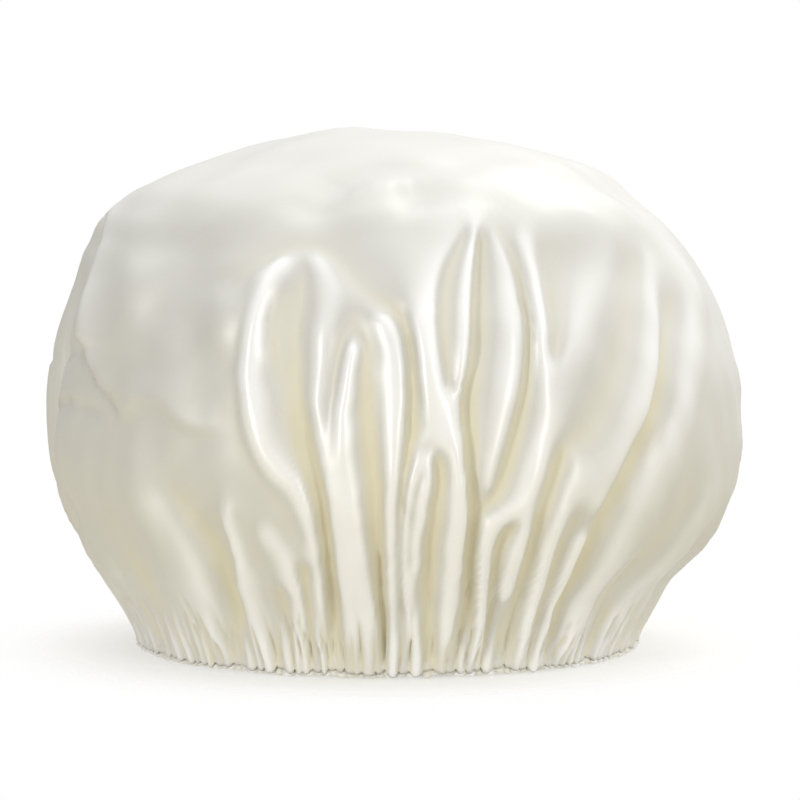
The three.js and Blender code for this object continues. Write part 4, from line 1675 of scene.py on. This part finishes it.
@dataclass
class ElasticBand:
    """The flat elastic in the casing, whose ends lap at the back."""

    radius: float = 87.0
    bottom: float = 0.8
    width: float = 8.0
    thickness: float = 1.0
    lap: float = 16.0
    lap_ramp: float = 24.0
    lap_step: float = 1.3
    ribs: int = 6
    rib_height: float = 0.14
    columns: int = 480
    piece: Object | None = None

    def build(self) -> Object:
        """Bend the ribbed strip round the hem, with its far end stepped in behind its start."""
        turn = np.linspace(0.0, TURN + self.lap / self.radius, self.columns)
        ramp = self.lap_ramp / self.radius
        middle = self.radius - self.lap_step * ease(turn, TURN - ramp, ramp)
        share = np.linspace(0.0, 1.0, 4 * self.ribs + 1)
        face = 0.5 * self.thickness - self.rib_height * (1.0 - np.abs(np.sin(math.pi * self.ribs * share)))
        reach = middle[:, None] + np.concatenate((face, -face[::-1]))
        level = np.broadcast_to(self.bottom + self.width * np.concatenate((share, share[::-1])), reach.shape)
        angle = (math.pi + turn)[:, None]
        self.piece = swept("elastic", ring_points(reach, angle, level), ring=False)
        return self.piece

    def dress(self, webbing: bpy.types.Material) -> None:
        """Give the elastic its finish and put it in the place of its solid."""
        self.piece.data.materials.append(webbing)
        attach(self.piece, "root")
        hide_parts("elastic_band")


@dataclass
class LapStitch:
    """The zigzag of thread that joins the lapped ends of the elastic."""

    band: ElasticBand
    teeth: int = 5
    thread: float = 0.5
    stand: float = 0.3
    steps: int = 12
    sides: int = 8
    piece: Object | None = None

    def build(self) -> Object:
        """Run the thread up and down over the inner face of the lap."""
        half = 0.5 * self.thread
        reach = self.band.radius - 0.5 * self.band.thickness - self.band.lap_step - self.stand - half
        corners = np.arange(2 * self.teeth + 1)
        place = np.linspace(0.0, corners[-1], self.steps * corners[-1] + 1)
        swing = 0.5 - 0.5 * np.cos(math.pi * place)
        level = self.band.bottom + half + (self.band.width - self.thread) * swing
        angle = math.pi + self.band.lap / self.band.radius * (place + 1.0) / (corners[-1] + 2.0)
        out = ring_points(1.0, angle, np.zeros(len(angle)))
        line = ring_points(reach, angle, level)
        ahead = np.gradient(line, axis=0)
        beside = np.cross(ahead / np.linalg.norm(ahead, axis=1, keepdims=True), out)
        turn = np.linspace(0.0, TURN, self.sides, endpoint=False)[None, :, None]
        thread = np.cos(turn) * out[:, None, :] + np.sin(turn) * beside[:, None, :]
        self.piece = swept("lap_zigzag", line[:, None, :] + half * thread, ring=False)
        return self.piece

    def dress(self, thread: bpy.types.Material) -> None:
        """Give the zigzag its finish and put it in the place of its solid."""
        self.piece.data.materials.append(thread)
        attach(self.piece, "root")
        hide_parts("elastic_lap_stitch")


def stitch_tree() -> bpy.types.NodeTree:
    """Geometry nodes that lay short stitches end to end along a seam."""
    tree = bpy.data.node_groups.new("seam_stitches", "GeometryNodeTree")
    sockets = (
        ("Seam", "NodeSocketGeometry"), ("Stitches", "NodeSocketInt"), ("Stitch length", "NodeSocketFloat"),
        ("Thread diameter", "NodeSocketFloat"), ("Tilt", "NodeSocketFloat"), ("Seed", "NodeSocketInt"),
        ("Thread", "NodeSocketMaterial"),
    )
    for name, kind in sockets:
        tree.interface.new_socket(name, in_out="INPUT", socket_type=kind)
    tree.interface.new_socket("Stitched", in_out="OUTPUT", socket_type="NodeSocketGeometry")
    canvas = NodeCanvas(tree)
    given, result = canvas.add("NodeGroupInput"), canvas.add("NodeGroupOutput")
    spaced = canvas.add("GeometryNodeResampleCurve", mode="COUNT")
    canvas.link(given.outputs["Seam"], spaced.inputs["Curve"])
    canvas.link(given.outputs["Stitches"], spaced.inputs["Count"])
    bead = canvas.add("GeometryNodeMeshUVSphere")
    bead.inputs["Segments"].default_value = 8
    bead.inputs["Rings"].default_value = 8
    bead.inputs["Radius"].default_value = 0.5
    size = canvas.add("ShaderNodeCombineXYZ")
    for axis, key in (("X", "Stitch length"), ("Y", "Thread diameter"), ("Z", "Thread diameter")):
        canvas.link(given.outputs[key], size.inputs[axis])
    stitch = canvas.add("GeometryNodeTransform")
    canvas.link(bead.outputs["Mesh"], stitch.inputs["Geometry"])
    canvas.link(size.outputs[0], stitch.inputs["Scale"])
    along = canvas.add("GeometryNodeInputTangent")
    aligned = canvas.add("FunctionNodeAlignRotationToVector", axis="X")
    canvas.link(along.outputs[0], aligned.inputs["Vector"])
    jitter = canvas.add("FunctionNodeRandomValue", data_type="FLOAT")
    canvas.link(canvas.math("MULTIPLY", given.outputs["Tilt"], -1.0), jitter.inputs[2])
    canvas.link(given.outputs["Tilt"], jitter.inputs[3])
    canvas.link(given.outputs["Seed"], jitter.inputs["Seed"])
    slant = canvas.add("ShaderNodeCombineXYZ")
    canvas.link(jitter.outputs[1], slant.inputs["Y"])
    turned = canvas.add("FunctionNodeRotateRotation", rotation_space="LOCAL")
    canvas.link(aligned.outputs[0], turned.inputs[0])
    canvas.link(slant.outputs[0], turned.inputs[1])
    laid = canvas.add("GeometryNodeInstanceOnPoints")
    canvas.link(spaced.outputs[0], laid.inputs["Points"])
    canvas.link(stitch.outputs[0], laid.inputs["Instance"])
    canvas.link(turned.outputs[0], laid.inputs["Rotation"])
    real = canvas.add("GeometryNodeRealizeInstances")
    canvas.link(laid.outputs[0], real.inputs[0])
    finished = canvas.add("GeometryNodeSetMaterial")
    canvas.link(real.outputs[0], finished.inputs["Geometry"])
    canvas.link(given.outputs["Thread"], finished.inputs["Material"])
    canvas.link(finished.outputs[0], result.inputs[0])
    return tree


class Wall(Enum):
    """The wall of the casing that a row of stitches lies on."""

    OUTER = "casing_needle_thread"
    INNER = "casing_bobbin_thread"


@dataclass
class SeamRow:
    """The row of stitches that closes the casing, as it lies on one of its walls."""

    casing: HemRuffle
    wall: Wall
    tree: bpy.types.NodeTree
    stitches: int = 210
    length: float = 2.3
    thread: float = 0.45
    stand: float = 0.3
    tilt: float = 0.12
    seed: int = 17
    columns: int = 840
    piece: Object | None = None

    def build(self, thread: bpy.types.Material) -> Object:
        """Lay the stitches along the wall's ruffles."""
        angle = np.arange(self.columns) * TURN / self.columns
        level = self.casing.stitch_level
        stand = self.stand * self.thread
        if self.wall is Wall.OUTER:
            reach = self.casing.wall(angle, level) + stand
        else:
            reach = self.casing.inside(angle) - stand
        data = bpy.data.curves.new("seam_line", "CURVE")
        data.dimensions = "3D"
        line = data.splines.new("POLY")
        line.points.add(self.columns - 1)
        spots = ring_points(reach, angle, np.full(self.columns, level)) * MM
        spots = np.concatenate((spots, np.ones((self.columns, 1))), axis=1)
        line.points.foreach_set("co", spots.astype(np.float32).ravel())
        line.use_cyclic_u = True
        seam = bpy.data.objects.new("seam_line", data)
        bpy.context.scene.collection.objects.link(seam)
        sewn = seam.modifiers.new("stitches", "NODES")
        sewn.node_group = self.tree
        given = {
            "Stitches": self.stitches, "Stitch length": self.length * MM, "Thread diameter": self.thread * MM,
            "Tilt": self.tilt, "Seed": self.seed, "Thread": thread,
        }
        for item in self.tree.interface.items_tree:
            if item.name in given:
                sewn[item.identifier] = given[item.name]
        bpy.context.view_layer.update()
        ready = seam.evaluated_get(bpy.context.evaluated_depsgraph_get())
        mesh = bpy.data.meshes.new_from_object(ready)
        bpy.data.objects.remove(seam)
        self.piece = bpy.data.objects.new(f"{self.wall.name.lower()}_stitches", mesh)
        mesh.polygons.foreach_set("use_smooth", np.ones(len(mesh.polygons), bool))
        bpy.context.scene.collection.objects.link(self.piece)
        return self.piece

    def dress(self) -> None:
        """Put the row in the place of its solid."""
        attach(self.piece, "root")
        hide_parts(self.wall.value)


@dataclass(frozen=True)
class Softbox:
    """One soft studio light."""

    name: str
    place: Three
    aim: Three
    size: Pair
    power: float

    def build(self) -> Object:
        """Make the light."""
        data = bpy.data.lights.new(self.name, "AREA")
        data.shape = "RECTANGLE"
        data.size, data.size_y = self.size
        data.energy = self.power
        light = bpy.data.objects.new(self.name, data)
        light.location = self.place
        way = np.array(self.aim) - np.array(self.place)
        flat = math.hypot(way[0], way[1])
        light.rotation_euler = (math.atan2(flat, -way[2]), 0.0, math.atan2(-way[0], way[1]))
        bpy.context.scene.collection.objects.link(light)
        return light


@dataclass
class Studio:
    """A white floor and ground, with soft light from above and from the sides."""

    lights: tuple[Softbox, ...] = (
        Softbox("front_left", (-0.85, -1.05, 0.25), (0.0, 0.0, 0.08), (0.12, 0.8), 5.8),
        Softbox("front_right", (0.75, -1.10, 0.25), (0.0, 0.0, 0.08), (0.12, 0.8), 3.5),
        Softbox("over_right", (0.30, 0.42, 0.80), (0.04, 0.0, 0.16), (0.35, 0.35), 0.85),
    )
    zenith: float = 1.68
    horizon: float = 0.32
    ground: float = 0.74
    bright_way: Three = (0.36, 0.28, 0.89)
    below_band: Pair = (-0.25, 0.05)
    bright_band: Pair = (0.1, 0.97)
    white: Three = (1.0, 1.0, 1.0)
    ground_colour: Three = (1.0, 0.94, 0.76)
    floor_colour: Three = (0.50, 0.495, 0.48)
    floor_roughness: float = 0.8
    floor_specular: float = 0.1
    glow_colour: Three = (1.0, 0.995, 0.985)
    glow: float = 0.46
    floor_radius: float = 1500.0
    floor_level: float = -0.05
    floor_sides: int = 96
    clear_band: Pair = (0.088, 0.155)

    @staticmethod
    def ramp(canvas: NodeCanvas, value: Socket, band: Pair, results: Pair) -> Socket:
        """Add a smooth ramp between two values.

        Args:
            canvas: The tree to add it to.
            value: What the ramp follows.
            band: Where it starts and ends.
            results: Results up to the start and from the end on.

        Returns:
            The result's socket.
        """
        node = canvas.add("ShaderNodeMapRange", interpolation_type="SMOOTHSTEP")
        for key, number in zip(("From Min", "From Max", "To Min", "To Max"), (*band, *results)):
            node.inputs[key].default_value = number
        canvas.link(value, node.inputs["Value"])
        return node.outputs[0]

    def world(self) -> None:
        """Make the ground white to the eye, with the brightest light from above and a warmer one from below."""
        made = bpy.data.worlds.new("white_ground")
        bpy.context.scene.world = made
        made.use_nodes = True
        canvas = NodeCanvas(made.node_tree)
        back = made.node_tree.nodes["Background"]
        way = canvas.add("ShaderNodeTexCoord")
        parts = canvas.add("ShaderNodeSeparateXYZ")
        canvas.link(way.outputs["Generated"], parts.inputs[0])
        below = self.ramp(canvas, parts.outputs["Z"], self.below_band, (1.0, 0.0))
        bright = canvas.add("ShaderNodeVectorMath", operation="DOT_PRODUCT")
        canvas.link(way.outputs["Generated"], bright.inputs[0])
        bright.inputs[1].default_value = self.bright_way
        above = self.ramp(canvas, bright.outputs["Value"], self.bright_band, (self.horizon, self.zenith))
        sky = canvas.math("MULTIPLY", above, canvas.math("SUBTRACT", 1.0, below))
        total = canvas.math("ADD", sky, canvas.math("MULTIPLY", below, self.ground))
        seen = canvas.add("ShaderNodeLightPath")
        shown = canvas.add("ShaderNodeMix", data_type="FLOAT")
        canvas.link(seen.outputs["Is Camera Ray"], shown.inputs[0])
        canvas.link(total, shown.inputs[2])
        shown.inputs[3].default_value = 1.0
        canvas.link(shown.outputs[0], back.inputs["Strength"])
        cast = canvas.mix(below, self.white, self.ground_colour)
        canvas.link(canvas.mix(seen.outputs["Is Camera Ray"], cast, self.white), back.inputs["Color"])

    def floor(self) -> None:
        """Lay the floor, which clears to the white ground away from the cap."""
        sides = self.floor_sides
        ring = np.linspace(0.0, TURN, sides + 1)[:-1]
        across, back = self.floor_radius * np.cos(ring), self.floor_radius * np.sin(ring)
        rim = np.stack((across, back, np.full(sides, self.floor_level)), axis=1)
        floor = mesh_object("floor", rim, [tuple(range(sides))])
        paper, canvas, shader = new_material("white_floor")
        shader.inputs["Base Color"].default_value = (*self.floor_colour, 1.0)
        shader.inputs["Roughness"].default_value = self.floor_roughness
        shader.inputs["Specular IOR Level"].default_value = self.floor_specular
        shader.inputs["Emission Color"].default_value = (*self.glow_colour, 1.0)
        shader.inputs["Emission Strength"].default_value = self.glow
        place = canvas.add("ShaderNodeTexCoord")
        far = canvas.add("ShaderNodeVectorMath", operation="LENGTH")
        canvas.link(place.outputs["Object"], far.inputs[0])
        shown = self.ramp(canvas, far.outputs["Value"], self.clear_band, (1.0, 0.0))
        canvas.link(shown, shader.inputs["Alpha"])
        floor.data.materials.append(paper)

    def build(self) -> None:
        """Set up the lights, the ground and the floor."""
        for light in self.lights:
            light.build()
        self.world()
        self.floor()
        bpy.context.scene.view_settings.view_transform = "Standard"


def main() -> None:
    """Build the cap piece by piece and set up the picture."""
    logging.basicConfig(level=logging.INFO, format="%(name)s: %(message)s")
    outline, camera = Outline(), PhotoCamera()
    lines = LineField(outline, camera, front_lines())
    gathers, crumple = Gathers(camera, outline), Crumple()
    folds = FoldField(outline, camera, front_folds() + BackFolds(outline).folds())
    satin = SatinFinish().material()
    film = FilmFinish().material()
    thread = ThreadFinish().material()
    shell = SatinShell(outline, folds, lines, gathers, crumple, CrownPeak())
    LOG.info("shell: %d faces", len(shell.build().data.polygons))
    shell.dress(satin)
    ruffle = HemRuffle(gathers)
    LOG.info("casing: %d faces", len(ruffle.build().data.polygons))
    ruffle.dress(satin)
    lining = FilmLining(outline, folds, lines, gathers)
    LOG.info("lining: %d faces", len(lining.build().data.polygons))
    lining.dress(film)
    elastic = ElasticBand()
    LOG.info("elastic: %d faces", len(elastic.build().data.polygons))
    elastic.dress(ElasticFinish().material())
    lap = LapStitch(elastic)
    LOG.info("lap zigzag: %d faces", len(lap.build().data.polygons))
    lap.dress(thread)
    stitches = stitch_tree()
    for wall in Wall:
        row = SeamRow(ruffle, wall, stitches)
        LOG.info("%s: %d faces", wall.value, len(row.build(thread).data.polygons))
        row.dress()
    for sheet in (shell, ruffle, lining):
        area = 0.5 * sum(face.area for face in sheet.piece.data.polygons)
        LOG.info("%s: %.4f square metres a side", sheet.piece.name, area)
    Studio().build()
    camera.build()


if __name__ == "__main__":
    main()
